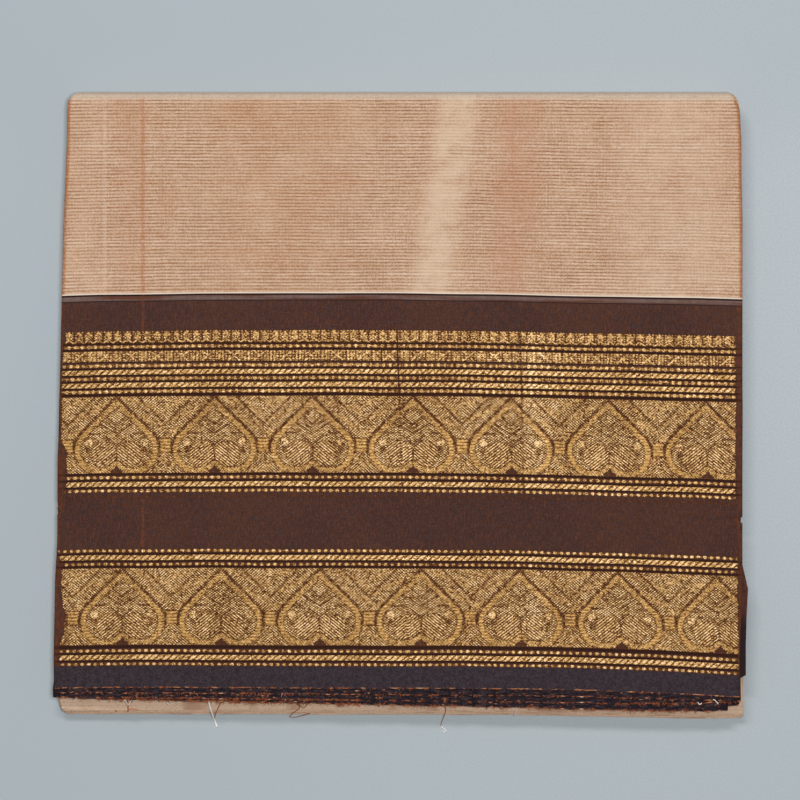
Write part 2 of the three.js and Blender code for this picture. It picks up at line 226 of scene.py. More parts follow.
def ply_mesh(name, rows, along, edges, roll, drop, columns, bend, relief=None):
    """A ply as a thin sheet: rows along its line, columns across the panel, and both
    side edges rolled inwards. Its vertices keep their place in the cloth."""
    y = rows[:, 0:1]
    z = rows[:, 1:2]
    out_y, out_z = rows[:, 2:3], rows[:, 3:4]
    turns = np.radians([0, 30, 60, 90])
    top = smooth(out_z, 0.2, 0.9)
    run_along = along[:, None]
    side_y = []
    for side_x in (-PANEL / 2, PANEL / 2):
        side_y.append((y - bend(np.full_like(y, side_x), run_along) * top)[:, 0])
    left_y, right_y = side_y
    run = np.concatenate([roll * turns, [roll * turns[-1] + drop]])
    outward = np.concatenate([roll * np.sin(turns), [roll - 0.15 * drop]])
    inward = np.concatenate([roll * (1 - np.cos(turns)), [roll + drop]])
    left, right = edges(rows, left_y, right_y)
    level = left[:, None] + roll + (right - left - 2 * roll)[:, None] * columns[None, 1:-1]
    left_bend, right_bend = (left + roll)[:, None], (right - roll)[:, None]
    x = np.hstack([left_bend - outward[None, ::-1], level, right_bend + outward[None, :]])
    cloth_x = np.hstack([left_bend - run[None, ::-1], level, right_bend + run[None, :]])
    deep = np.concatenate([inward[::-1], np.zeros(level.shape[1]), inward])[None, :]
    rim = np.minimum(cloth_x - cloth_x[:, :1], cloth_x[:, -1:] - cloth_x)
    place_y = y - out_y * deep - bend(x, run_along) * top
    share = np.clip((z - MIDDLE) / MIDDLE, -1, 1) * (out_z > -0.5)
    towards_front = np.clip((BACK - y) / (BACK - SELVEDGE), 0, 1.05)
    place_z = z - out_z * deep - SINKS * towards_front * np.maximum(share, 0)
    if relief is not None:
        rising, falling = np.linspace(0.2, 1, len(run)), np.linspace(1, 0.2, len(run))
        weight = np.concatenate([rising, np.ones(level.shape[1]), falling])
        place_z = place_z + relief(x, place_y) * (top * weight)
    points = np.stack([x, place_y, place_z], axis=-1).reshape(-1, 3) * MM
    high, wide = x.shape
    index = np.arange(high * wide).reshape(high, wide)
    corners = [index[:-1, :-1], index[:-1, 1:], index[1:, 1:], index[1:, :-1]]
    faces = np.stack(corners, axis=-1).reshape(-1, 4)
    mesh = bpy.data.meshes.new(name)
    mesh.from_pydata(points.tolist(), [], faces.tolist())
    # Its first and last row stay crisp.
    ends = np.empty(len(mesh.edges) * 2, dtype=np.int32)
    mesh.edges.foreach_get("vertices", ends)
    on_row = ends.reshape(-1, 2) // wide
    crisp = (on_row == 0).all(axis=1) | (on_row == high - 1).all(axis=1)
    mesh.attributes.new("sharp_edge", "BOOLEAN", "EDGE").data.foreach_set("value", crisp)
    cloth = mesh.attributes.new("cloth", "FLOAT_VECTOR", "POINT")
    values = np.stack([cloth_x, np.broadcast_to(run_along, x.shape), rim], axis=-1)
    cloth.data.foreach_set("vector", values.reshape(-1).astype(np.float32))
    mesh.shade_smooth()
    return mesh


def put_in_place(name, mesh):
    """Adds a mesh to the scene as a piece."""
    piece = bpy.data.objects.new(name, mesh)
    bpy.context.scene.collection.objects.link(piece)
    return piece


def thicken(piece):
    """Gives a sheet the cloth's thickness on its inner side."""
    shell = piece.modifiers.new("thickness", "SOLIDIFY")
    shell.thickness = THICKNESS * MM
    shell.offset = -1.0


TOP_ROLL = {"roll": 1.3, "drop": 0.9}


def top_bend(x, from_selvedge):
    """How far a woven line of the top ply bends towards the selvedge, with a slight waver."""
    places = LINE_BEND["from_selvedge"]
    bends = [np.interp(x, LINE_BEND["x"], row) for row in LINE_BEND["toward"]]
    moved = bends[0]
    for start, end, before, after in zip(places, places[1:], bends, bends[1:]):
        moved = moved + (after - before) * np.clip((from_selvedge - start) / (end - start), 0, 1)
    waver = 0.10 * np.sin(x / 9.5 + 2.0) * np.sin(from_selvedge / 19 + x / 60)
    return moved + waver * (1 - smooth(from_selvedge, 270, 300))


# How the outer ply's side edges turn in towards the back: round at the left, and in a
# short slant before a smaller round at the right.
BACK_CORNERS = {"long": 6.5, "left": 4.6, "right": 1.6, "slant_long": 9.0, "slant": 1.6}


def back_corner(rows):
    """0 along the sides and 1 at the very back, in a quarter of a circle."""
    past = np.clip((rows[:, 0] - BACK) / BACK_CORNERS["long"] + 1, 0, 1)
    return 1 - np.sqrt(1 - past ** 2)


def outer_edges(rows, left_y, right_y):
    """The outer ply's side edges, with round corners at the back."""
    left, right = side_edges(left_y, right_y)
    corner = back_corner(rows)
    slant = np.clip((rows[:, 0] - BACK) / BACK_CORNERS["slant_long"] + 1, 0, 1)
    right = right - BACK_CORNERS["slant"] * slant - BACK_CORNERS["right"] * corner
    return left + BACK_CORNERS["left"] * corner, right


ACROSS = np.linspace(0, 1, 250)
outer_rows, outer_along = ply_rows(
    MIDDLE, SELVEDGE,
    upper=np.arange(0, REACH, 1.6),
    lower=np.concatenate([[3, 6, 12, 20, 30], np.arange(40, REACH, 12)]),
    front_below=OUTER_FRONT, front_roll=OUTER_FRONT_ROLL,
)
at_back = int(np.argmax(outer_rows[:, 0]))
past_join = int(np.argmax(outer_along > JOIN + 0.2))
field_line = np.vstack([[SELVEDGE + JOIN, HEIGHT, 0, 1], outer_rows[past_join:at_back + 1]])
field_run = np.concatenate([[JOIN], outer_along[past_join:at_back + 1]])
field_mesh = ply_mesh(
    "field_cloth", field_line, field_run, outer_edges,
    columns=ACROSS, bend=top_bend, relief=top_relief, **TOP_ROLL,
)
field = put_in_place("field_cloth", field_mesh)
thicken(field)


class Value:
    """A number that changes over the cloth. Sums and products of values make Math nodes."""

    def __init__(self, tree, socket):
        self.tree = tree
        self.socket = socket

    def math(self, kind, *others):
        node = self.tree.nodes.new("ShaderNodeMath")
        node.operation = kind
        for socket, value in zip(node.inputs, (self, *others)):
            if isinstance(value, Value):
                self.tree.links.new(value.socket, socket)
            else:
                socket.default_value = value
        return Value(self.tree, node.outputs[0])

    def __add__(self, other):
        return self.math("ADD", other)

    def __sub__(self, other):
        return self.math("SUBTRACT", other)

    def __mul__(self, other):
        return self.math("MULTIPLY", other)

    def __truediv__(self, other):
        return self.math("DIVIDE", other)

    def __neg__(self):
        return self.math("MULTIPLY", -1.0)

    def __abs__(self):
        return self.math("ABSOLUTE")

    def least(self, other):
        return self.math("MINIMUM", other)

    def most(self, other):
        return self.math("MAXIMUM", other)

    def fade(self, low, high):
        """0 at low, 1 at high, and an even curve between; low may be the larger."""
        node = self.tree.nodes.new("ShaderNodeMapRange")
        node.interpolation_type = "SMOOTHSTEP"
        self.tree.links.new(self.socket, node.inputs["Value"])
        for name, value in (("From Min", low), ("From Max", high)):
            if isinstance(value, Value):
                self.tree.links.new(value.socket, node.inputs[name])
            else:
                node.inputs[name].default_value = value
        return Value(self.tree, node.outputs["Result"])

    def line(self, place, half, soft):
        """1 on a line at place, of the given half width, with soft edges."""
        return abs(self - place).fade(half + soft, half)

    def wave(self, length, start=0.0):
        """A sine wave from 0 to 1."""
        return ((self * (2 * math.pi / length)) + start).math("SINE") * 0.5 + 0.5


def noise(a, b, length_a, length_b, detail=2.0, seed=0.0):
    """Uneven cloudy values from 0 to 1, of one length along and another across."""
    tree = a.tree
    place = tree.nodes.new("ShaderNodeCombineXYZ")
    for socket, value in zip(place.inputs, (a / length_a, b / length_b)):
        tree.links.new(value.socket, socket)
    place.inputs[2].default_value = seed
    node = tree.nodes.new("ShaderNodeTexNoise")
    node.inputs["Scale"].default_value = 1.0
    node.inputs["Detail"].default_value = detail
    tree.links.new(place.outputs[0], node.inputs["Vector"])
    return Value(tree, node.outputs[0])


def chance(a, b, seed=0.0):
    """A random value from 0 to 1 for each whole step of a and b."""
    tree = a.tree
    place = tree.nodes.new("ShaderNodeCombineXYZ")
    for socket, value in zip(place.inputs, (a.math("FLOOR"), b.math("FLOOR"))):
        tree.links.new(value.socket, socket)
    place.inputs[2].default_value = seed
    node = tree.nodes.new("ShaderNodeTexWhiteNoise")
    tree.links.new(place.outputs[0], node.inputs["Vector"])
    return Value(tree, node.outputs["Value"])


def dye(red, green, blue):
    """A colour as the eye reads it, from 0 to 255, as the light that the cloth gives back."""
    return tuple(((part / 255 + 0.055) / 1.055) ** 2.4 for part in (red, green, blue)) + (1.0,)


def blend(share, first, second):
    """A colour between two, which may be dyes or colours that change over the cloth."""
    tree = share.tree
    node = tree.nodes.new("ShaderNodeMix")
    node.data_type = "RGBA"
    tree.links.new(share.socket, node.inputs[0])
    for socket, colour in ((node.inputs[6], first), (node.inputs[7], second)):
        if isinstance(colour, Value):
            tree.links.new(colour.socket, socket)
        else:
            socket.default_value = colour
    return Value(tree, node.outputs[2])


NUMBER = "NodeSocketFloat"
COLOUR = "NodeSocketColor"


def effect(name, numbers, results):
    """A new shader node group: its named inputs, where None is a colour, and a call that
    sets its outputs."""
    tree = bpy.data.node_groups.new(name, "ShaderNodeTree")
    for label, value in numbers.items():
        kind = COLOUR if value is None else NUMBER
        socket = tree.interface.new_socket(label, in_out="INPUT", socket_type=kind)
        if value is not None:
            socket.default_value = value
    for label, kind in results.items():
        tree.interface.new_socket(label, in_out="OUTPUT", socket_type=kind)
    start = tree.nodes.new("NodeGroupInput")
    end = tree.nodes.new("NodeGroupOutput")
    given = {label: Value(tree, start.outputs[label]) for label in numbers}

    def give(**values):
        for label, value in values.items():
            tree.links.new(value.socket, end.inputs[label.replace("_", " ")])

    return given, give


def use(tree, name, **numbers):
    """Places a group in a material's tree, with its own numbers: its outputs by name."""
    node = tree.nodes.new("ShaderNodeGroup")
    node.node_tree = bpy.data.node_groups[name]
    for label, value in numbers.items():
        socket = node.inputs[label.replace("_", " ")]
        if isinstance(value, Value):
            tree.links.new(value.socket, socket)
        else:
            socket.default_value = value
    return {socket.name: Value(tree, socket) for socket in node.outputs}


# The tissue of the field: cream and tan weft lines with rust ones among them,
# fine pale warp threads, and clouds where the plies below show through.
LINE_PITCH = 1.65
given, give = effect(
    "striped tissue",
    {"Along": 0.0, "Across": 0.0, "Contrast": 1.0},
    {"Colour": COLOUR, "Height": NUMBER},
)
u, v = given["Along"], given["Across"]
drift = (noise(u, v, 70, 18, detail=2, seed=3.0) - 0.5) * 1.3
waver = (noise(u, v, 11, 5, detail=1, seed=4.0) - 0.5) * 0.45
step = (v + drift + waver) / LINE_PITCH
ribs = ((step * (2 * math.pi)).math("SINE") * 0.5 + 0.5).fade(0.30, 1.0)
tone = chance(step + 0.25, u * 0.0, seed=1.0)
broken = noise(u, v, 9.0, 1.4, detail=2, seed=8.0)
strength = noise(u, v, 30, 22, detail=2, seed=12.0).fade(0.32, 0.62)
clouds = noise(u, v, 26, 34, detail=3, seed=21.0)
warp = noise(u, v, 0.62, 22, detail=1, seed=5.0)
warp_lines = u.wave(1.62) * noise(u, v, 16, 22, detail=1, seed=6.0).fade(0.42, 0.62)
grain = chance(u / 0.55 + 500.0, v / 0.5, seed=9.0)
fleck = noise(u, v, 1.5, 0.9, detail=2, seed=10.0)
shade = ribs * (strength * 0.24 + 0.40) * (broken.fade(0.28, 0.62) * 0.45 + 0.65) * given["Contrast"]
cloth = blend(shade * 1.16, dye(203, 167, 137), dye(126, 78, 42))
rusty = tone.fade(0.55, 0.95) * broken.fade(0.40, 0.62) * ribs
cloth = blend(rusty * (strength * 0.25 + 0.25), cloth, dye(166, 96, 44))
pale = (-tone + 1.0).fade(0.40, 0.9) * ribs.fade(0.35, 0.0) * broken.fade(0.62, 0.44)
cloth = blend(pale * 0.42, cloth, dye(236, 213, 192))
cloth = blend(warp.fade(0.55, 0.80) * 0.20, cloth, dye(226, 202, 180))
cloth = blend(warp.fade(0.45, 0.25) * 0.16, cloth, dye(160, 112, 78))
cloth = blend(warp_lines * 0.26, cloth, dye(160, 114, 82))
cloth = blend(clouds.fade(0.52, 0.70) * 0.14, cloth, dye(214, 180, 148))
cloth = blend(clouds.fade(0.48, 0.32) * 0.18, cloth, dye(178, 122, 86))
cloth = blend(fleck.fade(0.60, 0.75) * 0.22, cloth, dye(160, 106, 66))
cloth = blend(grain.fade(0.55, 1.0) * 0.30, cloth, dye(230, 206, 186))
cloth = blend(grain.fade(0.45, 0.0) * 0.28, cloth, dye(142, 94, 62))
give(Colour=cloth, Height=ribs * 0.05 + warp * 0.03 + grain * 0.02)


def new_material(name, roughness, sheen, specular):
    """A material with its tree and its shader."""
    material = bpy.data.materials.new(name)
    material.use_nodes = True
    tree = material.node_tree
    shader = tree.nodes["Principled BSDF"]
    shader.inputs["Roughness"].default_value = roughness
    shader.inputs["Sheen Weight"].default_value = sheen
    shader.inputs["Specular IOR Level"].default_value = specular
    return material, tree, shader


def three_values(tree, socket):
    """The three parts of a vector."""
    parts = tree.nodes.new("ShaderNodeSeparateXYZ")
    tree.links.new(socket, parts.inputs[0])
    return [Value(tree, part) for part in parts.outputs]


def surface(name, roughness, sheen):
    """A cloth material, and where a point lies in the cloth: how far along, how far from
    the selvedge, and how far in from the nearer side edge."""
    material, tree, shader = new_material(name, roughness, sheen, specular=0.06)
    shader.inputs["Sheen Roughness"].default_value = 0.45
    attribute = tree.nodes.new("ShaderNodeAttribute")
    attribute.attribute_name = "cloth"
    return material, tree, shader, three_values(tree, attribute.outputs["Vector"])


def raise_up(tree, shader, height):
    """Gives the shader a bump from a height in millimetres."""
    bump = tree.nodes.new("ShaderNodeBump")
    bump.inputs["Distance"].default_value = MM
    tree.links.new(height.socket, bump.inputs["Height"])
    tree.links.new(bump.outputs["Normal"], shader.inputs["Normal"])


material, tree, shader, (along, across, rim) = surface("field cloth", roughness=0.7, sheen=0.04)
tissue = use(tree, "striped tissue", Along=along, Across=across)
colour = tissue["Colour"]
# Brighter and pinker stretches that run from front to back, and the pale left side. The broad bright stretch
# at the right is painted light: the field is painted brighter towards the right, where the light falls
# stronger.
STRETCHES = [
    {"x": 24.0, "wide": 15.0, "lean": 0.14, "share": 0.48, "dye": dye(222, 196, 170)},
    {"x": 58.0, "wide": 17.0, "lean": 0.05, "share": 0.26, "dye": dye(184, 128, 100)},
    # painted light: brighter towards the right side
    {"x": 138.0, "wide": 40.0, "lean": 0.0, "share": 0.28, "dye": dye(220, 192, 168)},
    {"x": -157.0, "wide": 12.0, "lean": 0.0, "share": 0.12, "dye": dye(216, 186, 158)},
    {"x": -134.0, "wide": 13.0, "lean": 0.0, "share": 0.16, "dye": dye(182, 126, 96)},
    {"x": -60.0, "wide": 60.0, "lean": 0.1, "share": 0.18, "dye": dye(184, 134, 98)},
]
uneven = noise(along, across, 12, 9, detail=3, seed=7.0).fade(0.3, 0.62)
for row in STRETCHES:
    middle = (across - 250.0) * row["lean"] + row["x"]
    share = abs(along - middle).fade(row["wide"], row["wide"] * 0.25) * row["share"]
    colour = blend(share * (uneven * 0.7 + 0.5), colour, row["dye"])
# A thick rust warp bar near the left side, and the faint edges of two more.
BAR = -127.7
BARS = [
    {"x": BAR, "half": 0.7, "share": 0.50, "dye": dye(172, 98, 50)},
    {"x": BAR - 19.0, "half": 0.7, "share": 0.30, "dye": dye(216, 192, 172)},
    {"x": BAR + 9.5, "half": 0.5, "share": 0.14, "dye": dye(166, 98, 58)},
    {"x": 57.5, "half": 0.6, "share": 0.12, "dye": dye(166, 98, 58)},
]
bar_edge = noise(along, across, 1.1, 1.8, detail=2, seed=2.0)
for row in BARS:
    share = along.line(row["x"], row["half"], 0.5) * (bar_edge.fade(0.3, 0.65) * 0.7 + 0.3) * row["share"]
    colour = blend(share, colour, row["dye"])
# The rust of the folded edge shows in a narrow strip along both sides.
edge_wear = noise(along, across, 2.0, 1.6, detail=3, seed=4.0)
colour = blend(rim.fade(3.9, 2.6) * (edge_wear.fade(0.3, 0.6) * 0.5 + 0.35), colour, dye(168, 102, 58))
# The first line of the field at the join is bright cream.
colour = blend(across.fade(JOIN + 0.95, JOIN + 0.35) * 0.8, colour, dye(240, 222, 202))
# The roll at the back is painted paler, a painted highlight where its round edge faces the light. It has few
# lines of its own and is mottled.
mottle = noise(along, across, 3.0, 1.6, detail=3, seed=6.0)
ROLL_STARTS = 293.6
ROLL_ALL = 296.4
on_roll = across.fade(ROLL_STARTS, ROLL_ALL)
fine_mottle = chance(along / 0.6, across / 0.6, seed=13.0)
# painted highlight on the round back edge
colour = blend(on_roll * 0.72, colour, dye(212, 194, 174))
colour = blend(on_roll * mottle.fade(0.54, 0.72) * 0.4, colour, dye(176, 140, 104))
colour = blend(on_roll * fine_mottle.fade(0.6, 1.0) * 0.35, colour, dye(164, 134, 110))
tree.links.new(colour.socket, shader.inputs["Base Color"])
raise_up(tree, shader, tissue["Height"])
field.data.materials.append(material)
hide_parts("top_field")
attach(field, "root")

# The border: the front stretch of the top ply, silk in dark brown shot with rust, with
# bands of gold zari, woven in one with the field. A navy selvedge ends it in front, and
# the ground is plain between the bands.
BORDER_BANDS = [
    {"to": 10.6, "weave": "plain"},
    {"to": 20.6, "weave": "rows"},
    {"to": 60.9, "weave": "lower leaves"},
    {"to": 71.0, "weave": "rows"},
    {"to": 84.6, "weave": "plain"},
    {"to": 94.6, "weave": "plain", "step": 0.5},
    {"to": 107.3, "weave": "rows"},
    {"to": 147.3, "weave": "upper leaves"},
    {"to": 163.7, "weave": "rows"},
    {"to": 180.0, "weave": "flowers"},
    {"to": JOIN, "weave": "plain"},
]
BORDER_DIP = 0.32
ROW_STEP = 1.6

band_starts = [0.0] + [band["to"] for band in BORDER_BANDS]
border_places = [0.0, 0.5]
for start, band in zip(band_starts, BORDER_BANDS):
    wide = band["to"] - start
    count = max(round(wide / band.get("step", ROW_STEP)), 1)
    border_places += [start + wide * (k + 1) / count for k in range(count)]
border_places.append(JOIN + 1.5)
border_run = np.array(border_places)
border_line = np.array([(SELVEDGE + place, HEIGHT, 0.0, 1.0) for place in border_places])


def border_relief(x, y):
    """The top ply's relief, tucked just under the field at the join and lifting unevenly
    at the selvedge."""
    from_selvedge = y - SELVEDGE + top_bend(x, y - SELVEDGE)
    tucked = BORDER_DIP * smooth(from_selvedge, JOIN - 9, JOIN - 1)
    lifted = 0.22 * (np.sin(x / 17) * np.sin(x / 41 + 0.6) + 0.2) * hump(from_selvedge, 6.0)
    return top_relief(x, y) - tucked + lifted


border_mesh = ply_mesh(
    "border_cloth", border_line, border_run, outer_edges,
    columns=ACROSS, bend=top_bend, relief=border_relief, **TOP_ROLL,
)
border = put_in_place("border_cloth", border_mesh)
thicken(border)

# How far in from each side the zari begins, at some distances from the selvedge.
ZARI_BEGINS = {
    "from_selvedge": [10, 12, 18, 23, 27, 35, 44, 50, 62, 66, 69, 99, 106, 120, 125, 160, 170, 175, 180],
    "left": [3.8, 3.9, 4.8, 4.8, 6.3, 7.1, 5.6, 4.9, 4.8, 3.3, 2.0, 5.5, 6.4, 6.2, 3.0, 2.6, 3.1, 4.2, 4.0],
    "right": [2.3, 2.3, 2.4, 2.5, 2.8, 3.2, 3.5, 3.8, 4.2, 4.2, 4.3, 5.0, 5.1, 5.2, 5.2, 5.2, 5.2, 5.3, 5.3],
}
in_cloth = np.empty(len(border_mesh.vertices) * 3, dtype=np.float32)
border_mesh.attributes["cloth"].data.foreach_get("vector", in_cloth)
in_cloth = in_cloth.reshape(-1, 3)
at_left = np.interp(in_cloth[:, 1], ZARI_BEGINS["from_selvedge"], ZARI_BEGINS["left"])
at_right = np.interp(in_cloth[:, 1], ZARI_BEGINS["from_selvedge"], ZARI_BEGINS["right"])
begins = np.where(in_cloth[:, 0] < 0, at_left, at_right).astype(np.float32)
border_mesh.attributes.new("zari_begins", "FLOAT", "POINT").data.foreach_set("value", begins)

# The ground of the border: brown with navy and rust threads, turning navy at the
# selvedge.
NAVY_ENDS = 10.9
given, give = effect("shot ground", {"Along": 0.0, "Across": 0.0}, {"Colour": COLOUR, "Height": NUMBER})
u, v = given["Along"], given["Across"]
warp = noise(u, v, 0.8, 5.0, detail=3, seed=31.0)
fine_warp = noise(u, v, 0.55, 3.0, detail=1, seed=36.0)
weft = noise(u, v, 7.0, 0.9, detail=3, seed=32.0)
patches = noise(u, v, 2.4, 3.2, detail=2, seed=33.0)
broad = noise(u, v, 38.0, 60.0, detail=2, seed=37.0)
grain = noise(u, v, 0.8, 0.8, detail=1, seed=34.0)
ground = blend(broad.fade(0.35, 0.65), dye(65, 40, 33), dye(73, 44, 33))
ground = blend(warp.fade(0.5, 0.75) * 0.45, ground, dye(112, 60, 38))
ground = blend(patches.fade(0.52, 0.68) * 0.50, ground, dye(56, 44, 50))
ground = blend(weft.fade(0.55, 0.8) * 0.30, ground, dye(100, 62, 50))
ground = blend(weft.fade(0.45, 0.25) * 0.30, ground, dye(50, 34, 34))
ground = blend(fine_warp.fade(0.48, 0.30) * 0.30, ground, dye(50, 36, 38))
ground = blend(fine_warp.fade(0.52, 0.70) * 0.25, ground, dye(110, 66, 48))
ground = blend(grain.fade(0.5, 0.8) * 0.22, ground, dye(112, 76, 60))
crossing = chance(u / 0.55 + 700.0, v / 0.5 + 300.0, seed=38.0)
ground = blend(crossing.fade(0.5, 1.0) * 0.14, ground, dye(112, 80, 70))
ground = blend(crossing.fade(0.5, 0.0) * 0.22, ground, dye(40, 22, 20))
navy = blend(patches.fade(0.35, 0.65), dye(44, 34, 38), dye(54, 44, 48))
navy = blend(warp.fade(0.56, 0.8) * 0.45, navy, dye(88, 56, 46))
navy = blend(grain.fade(0.5, 0.8) * 0.30, navy, dye(76, 70, 84))
navy = blend(crossing.fade(0.5, 1.0) * 0.30, navy, dye(80, 74, 84))
navy = blend(crossing.fade(0.5, 0.0) * 0.30, navy, dye(34, 26, 34))
wavering = weft + (NAVY_ENDS - 0.5)
ground = blend((v - wavering).fade(-0.4, 0.4), navy, ground)
give(Colour=ground, Height=warp * 0.05 + weft * 0.03 + grain * 0.03)

# Rows of dots: short gold floats side by side, with a fainter link between them.
ROW_PITCH = 3.26
given, give = effect(
    "dot row",
    {"Along": 0.0, "Up": 0.0, "Half Height": 0.7, "Link": 0.3},
    {"Gold": NUMBER},
)
aside = abs((given["Along"] / ROW_PITCH).math("FRACT") - 0.5) * 2.0
upward = abs(given["Up"]) / given["Half Height"]
size = chance(given["Along"] / ROW_PITCH, given["Along"] * 0.0, seed=57.0)
far = (aside / (size * 0.14 + 0.50)).math("POWER", 2.5) + upward.math("POWER", 2.0)
link = upward.fade(1.25, 0.4) * given["Link"]
give(Gold=(far.fade(1.9, 0.35) * (size * 0.25 + 0.68)).most(link))

# Rows of rope: thick slanting floats side by side, flatter towards the row's edges.
given, give = effect("rope row", {"Along": 0.0, "Up": 0.0, "Fill": 0.24}, {"Gold": NUMBER})
up = given["Up"]
slant = up * 0.85 + up * up * up * 0.30
turn = abs(((given["Along"] - slant) / ROW_PITCH).math("FRACT") - 0.5) * 2.0
strand = turn.fade(0.95, 0.42)
inside = abs(up).fade(1.45, 1.15)
give(Gold=(strand * (-given["Fill"] * 0.8 + 0.78) + given["Fill"]) * inside)

# A band of leaves: heart-shaped leaves with their tips up, each in a satin outline
# with two lobes of twill, a bud at each side and a fan of petals above, set between
# chevrons, small blocks and dotted tents. All in millimetres from the band's foot.
LEAF_TIP = 38.3
LEAF_SIZE = 35.2
LEAF_OUTLINE = 2.8
LEAF_LOBE = {"aside": 6.4, "up": 9.6, "radius": 6.5}
LEAF_BUD = {"aside": 13.9, "up": 15.6, "radius": 2.1}
LEAF_SHADE = {"aside": 14.0, "up": 11.6, "radius": 2.2}
LEAF_CROWN = {"up": 27.0, "radius": 4.2}
LEAF_SHELF = {"up": 20.1, "from": 8.2, "to": 14.2}
# Pairs of petals, which rise outwards from a foot on the leaf's middle line.
LEAF_PETALS = [
    {"foot": 24.3, "rise": 0.90, "half": 0.25, "soft": 0.50, "ends": 4.8, "fades": 1.2},
    {"foot": 20.0, "rise": 0.62, "half": 0.20, "soft": 0.50, "ends": 9.5, "fades": 1.3},
    {"foot": 14.2, "rise": 0.85, "half": 0.30, "soft": 0.45, "ends": 4.6, "fades": 1.0},
]
CHEVRONS = [{"out": 7.7, "half": 0.34, "dark": 0.85}, {"out": 4.9, "half": 0.2, "dark": 0.5}]
BLOCK = {"half": 2.7, "low": 10.3, "high": 17.2}
given, give = effect(
    "leaf band",
    {"Along": 0.0, "Up": 0.0, "Pitch": 49.2, "Start": 0.0},
    {"Gold": NUMBER, "Satin": NUMBER},
)
turn = ((given["Along"] - given["Start"]) / given["Pitch"] + 0.5).math("FRACT") - 0.5
x = turn * given["Pitch"]
y = given["Up"]
aside = abs(x)


def from_point(aside_of, up_of, squash=1.0):
    """The distance from a point of the leaf, mirrored on both sides."""
    across = (aside - aside_of) * squash
    return (across * across + (y - up_of) * (y - up_of)).math("SQRT")


# The distance from the leaf's outline, less than nothing inside it.
hx = aside / LEAF_SIZE
hy = (-y + LEAF_TIP) / LEAF_SIZE
past = hx + hy
lobe_x, lobe_y = hx - 0.25, hy - 0.75
lobe_edge = (lobe_x * lobe_x + lobe_y * lobe_y).math("SQRT") - math.sqrt(2) / 4
half_past = past.most(0.0) * 0.5
notch = hx * hx + (hy - 1.0) * (hy - 1.0)
slope = (hx - half_past) * (hx - half_past) + (hy - half_past) * (hy - half_past)
straight_edge = notch.least(slope).math("SQRT") * (hx - hy).math("SIGN")
on_lobe = past.math("GREATER_THAN", 1.0)
stepped = chance(x / 0.6 + 200.0, y / 0.55 + 90.0, seed=55.0) - 0.5
edge = (lobe_edge * on_lobe + straight_edge * (-on_lobe + 1.0)) * LEAF_SIZE + stepped * 0.5
# The threads: a lattice of dots, and twill that leans inwards on both sides.
first_dots = x.wave(1.7) * y.wave(1.24)
other_dots = x.wave(1.7, start=math.pi) * y.wave(1.24, start=math.pi)
dots = first_dots.most(other_dots).fade(0.08, 0.80)
twill = (y + aside * 0.8).wave(1.52).fade(0.2, 0.85)
rising = (y - aside * 0.95).wave(1.48).fade(0.15, 0.85)
# Inside the leaf.
lobe = from_point(LEAF_LOBE["aside"], LEAF_LOBE["up"]) - LEAF_LOBE["radius"]
in_lobe = lobe.fade(0.2, -0.2)
inside = (dots * 0.74 + 0.22) * (-in_lobe + 1.0) + (twill * 0.58 + 0.28) * in_lobe
petals = abs(aside * aside * 0.09 + 24.5 - y).fade(0.6, 0.2) * aside.fade(8.0, 6.5) * 0.6
for row in LEAF_PETALS:
    made = (y - aside * row["rise"]).line(row["foot"], row["half"], row["soft"])
    petals = petals.most(made * aside.fade(row["ends"] + row["fades"], row["ends"]))
stem = aside.fade(0.7, 0.25) * y.fade(14.8, 14.2) * y.fade(1.5, 2.5) * 0.8
shelf = y.line(LEAF_SHELF["up"], 0.25, 0.4) * aside.fade(LEAF_SHELF["from"] - 0.6, LEAF_SHELF["from"])
shelf = shelf * aside.fade(LEAF_SHELF["to"] + 0.5, LEAF_SHELF["to"] - 0.5)
shadow = from_point(LEAF_SHADE["aside"], LEAF_SHADE["up"], squash=1.35)
shadow = shadow.fade(LEAF_SHADE["radius"] + 0.4, 1.0)
crown = (from_point(0.0, LEAF_CROWN["up"]) - LEAF_CROWN["radius"]).line(0.0, 0.15, 0.4) * 0.6
lobe_rim = lobe.line(0.1, 0.15, 0.4) * 0.55
dark = petals.most(stem).most(shelf).most(shadow * 0.9).most(crown).most(lobe_rim)
bud = from_point(LEAF_BUD["aside"], LEAF_BUD["up"])
in_bud = bud.fade(LEAF_BUD["radius"], LEAF_BUD["radius"] - 0.5)
bud_ring = bud.line(LEAF_BUD["radius"] + 0.35, 0.1, 0.3) * 0.6
inside = inside * (-(dark.most(bud_ring)) * 0.56 + 1.0)
inside = inside.most(in_bud * (rising * 0.25 + 0.55))
# Outside it.
outside = rising * 0.42 + dots * 0.42 + 0.18
chevrons = None
for row in CHEVRONS:
    made = edge.line(row["out"], row["half"], 0.45) * row["dark"]
    chevrons = made if chevrons is None else chevrons.most(made)
chevrons = chevrons * y.fade(16.5, 19.5)
tent = (edge - 3.0).line(0.0, 0.2, 0.45) * y.fade(9.6, 8.6) * 0.5
foot = aside.fade(3.4, 2.4) * y.fade(4.2, 3.2)
block_edge = abs(aside - given["Pitch"] * 0.5)
block_middle = (BLOCK["low"] + BLOCK["high"]) / 2
block = block_edge.fade(BLOCK["half"], BLOCK["half"] - 0.35) * y.line(block_middle, 3.2, 0.3)
beside = block_edge.fade(BLOCK["half"] + 2.0, BLOCK["half"] + 1.0)
beside = beside * y.line(13.8, 3.6, 0.8) * 0.75
outside = outside * (-(chevrons.most(tent).most(beside)) * 0.58 + 1.0) * (-foot * 0.75 + 1.0)
bars = y.wave(1.6).fade(0.1, 0.7) * 0.30 + 0.34
outside = outside * (-block + 1.0) + bars * block
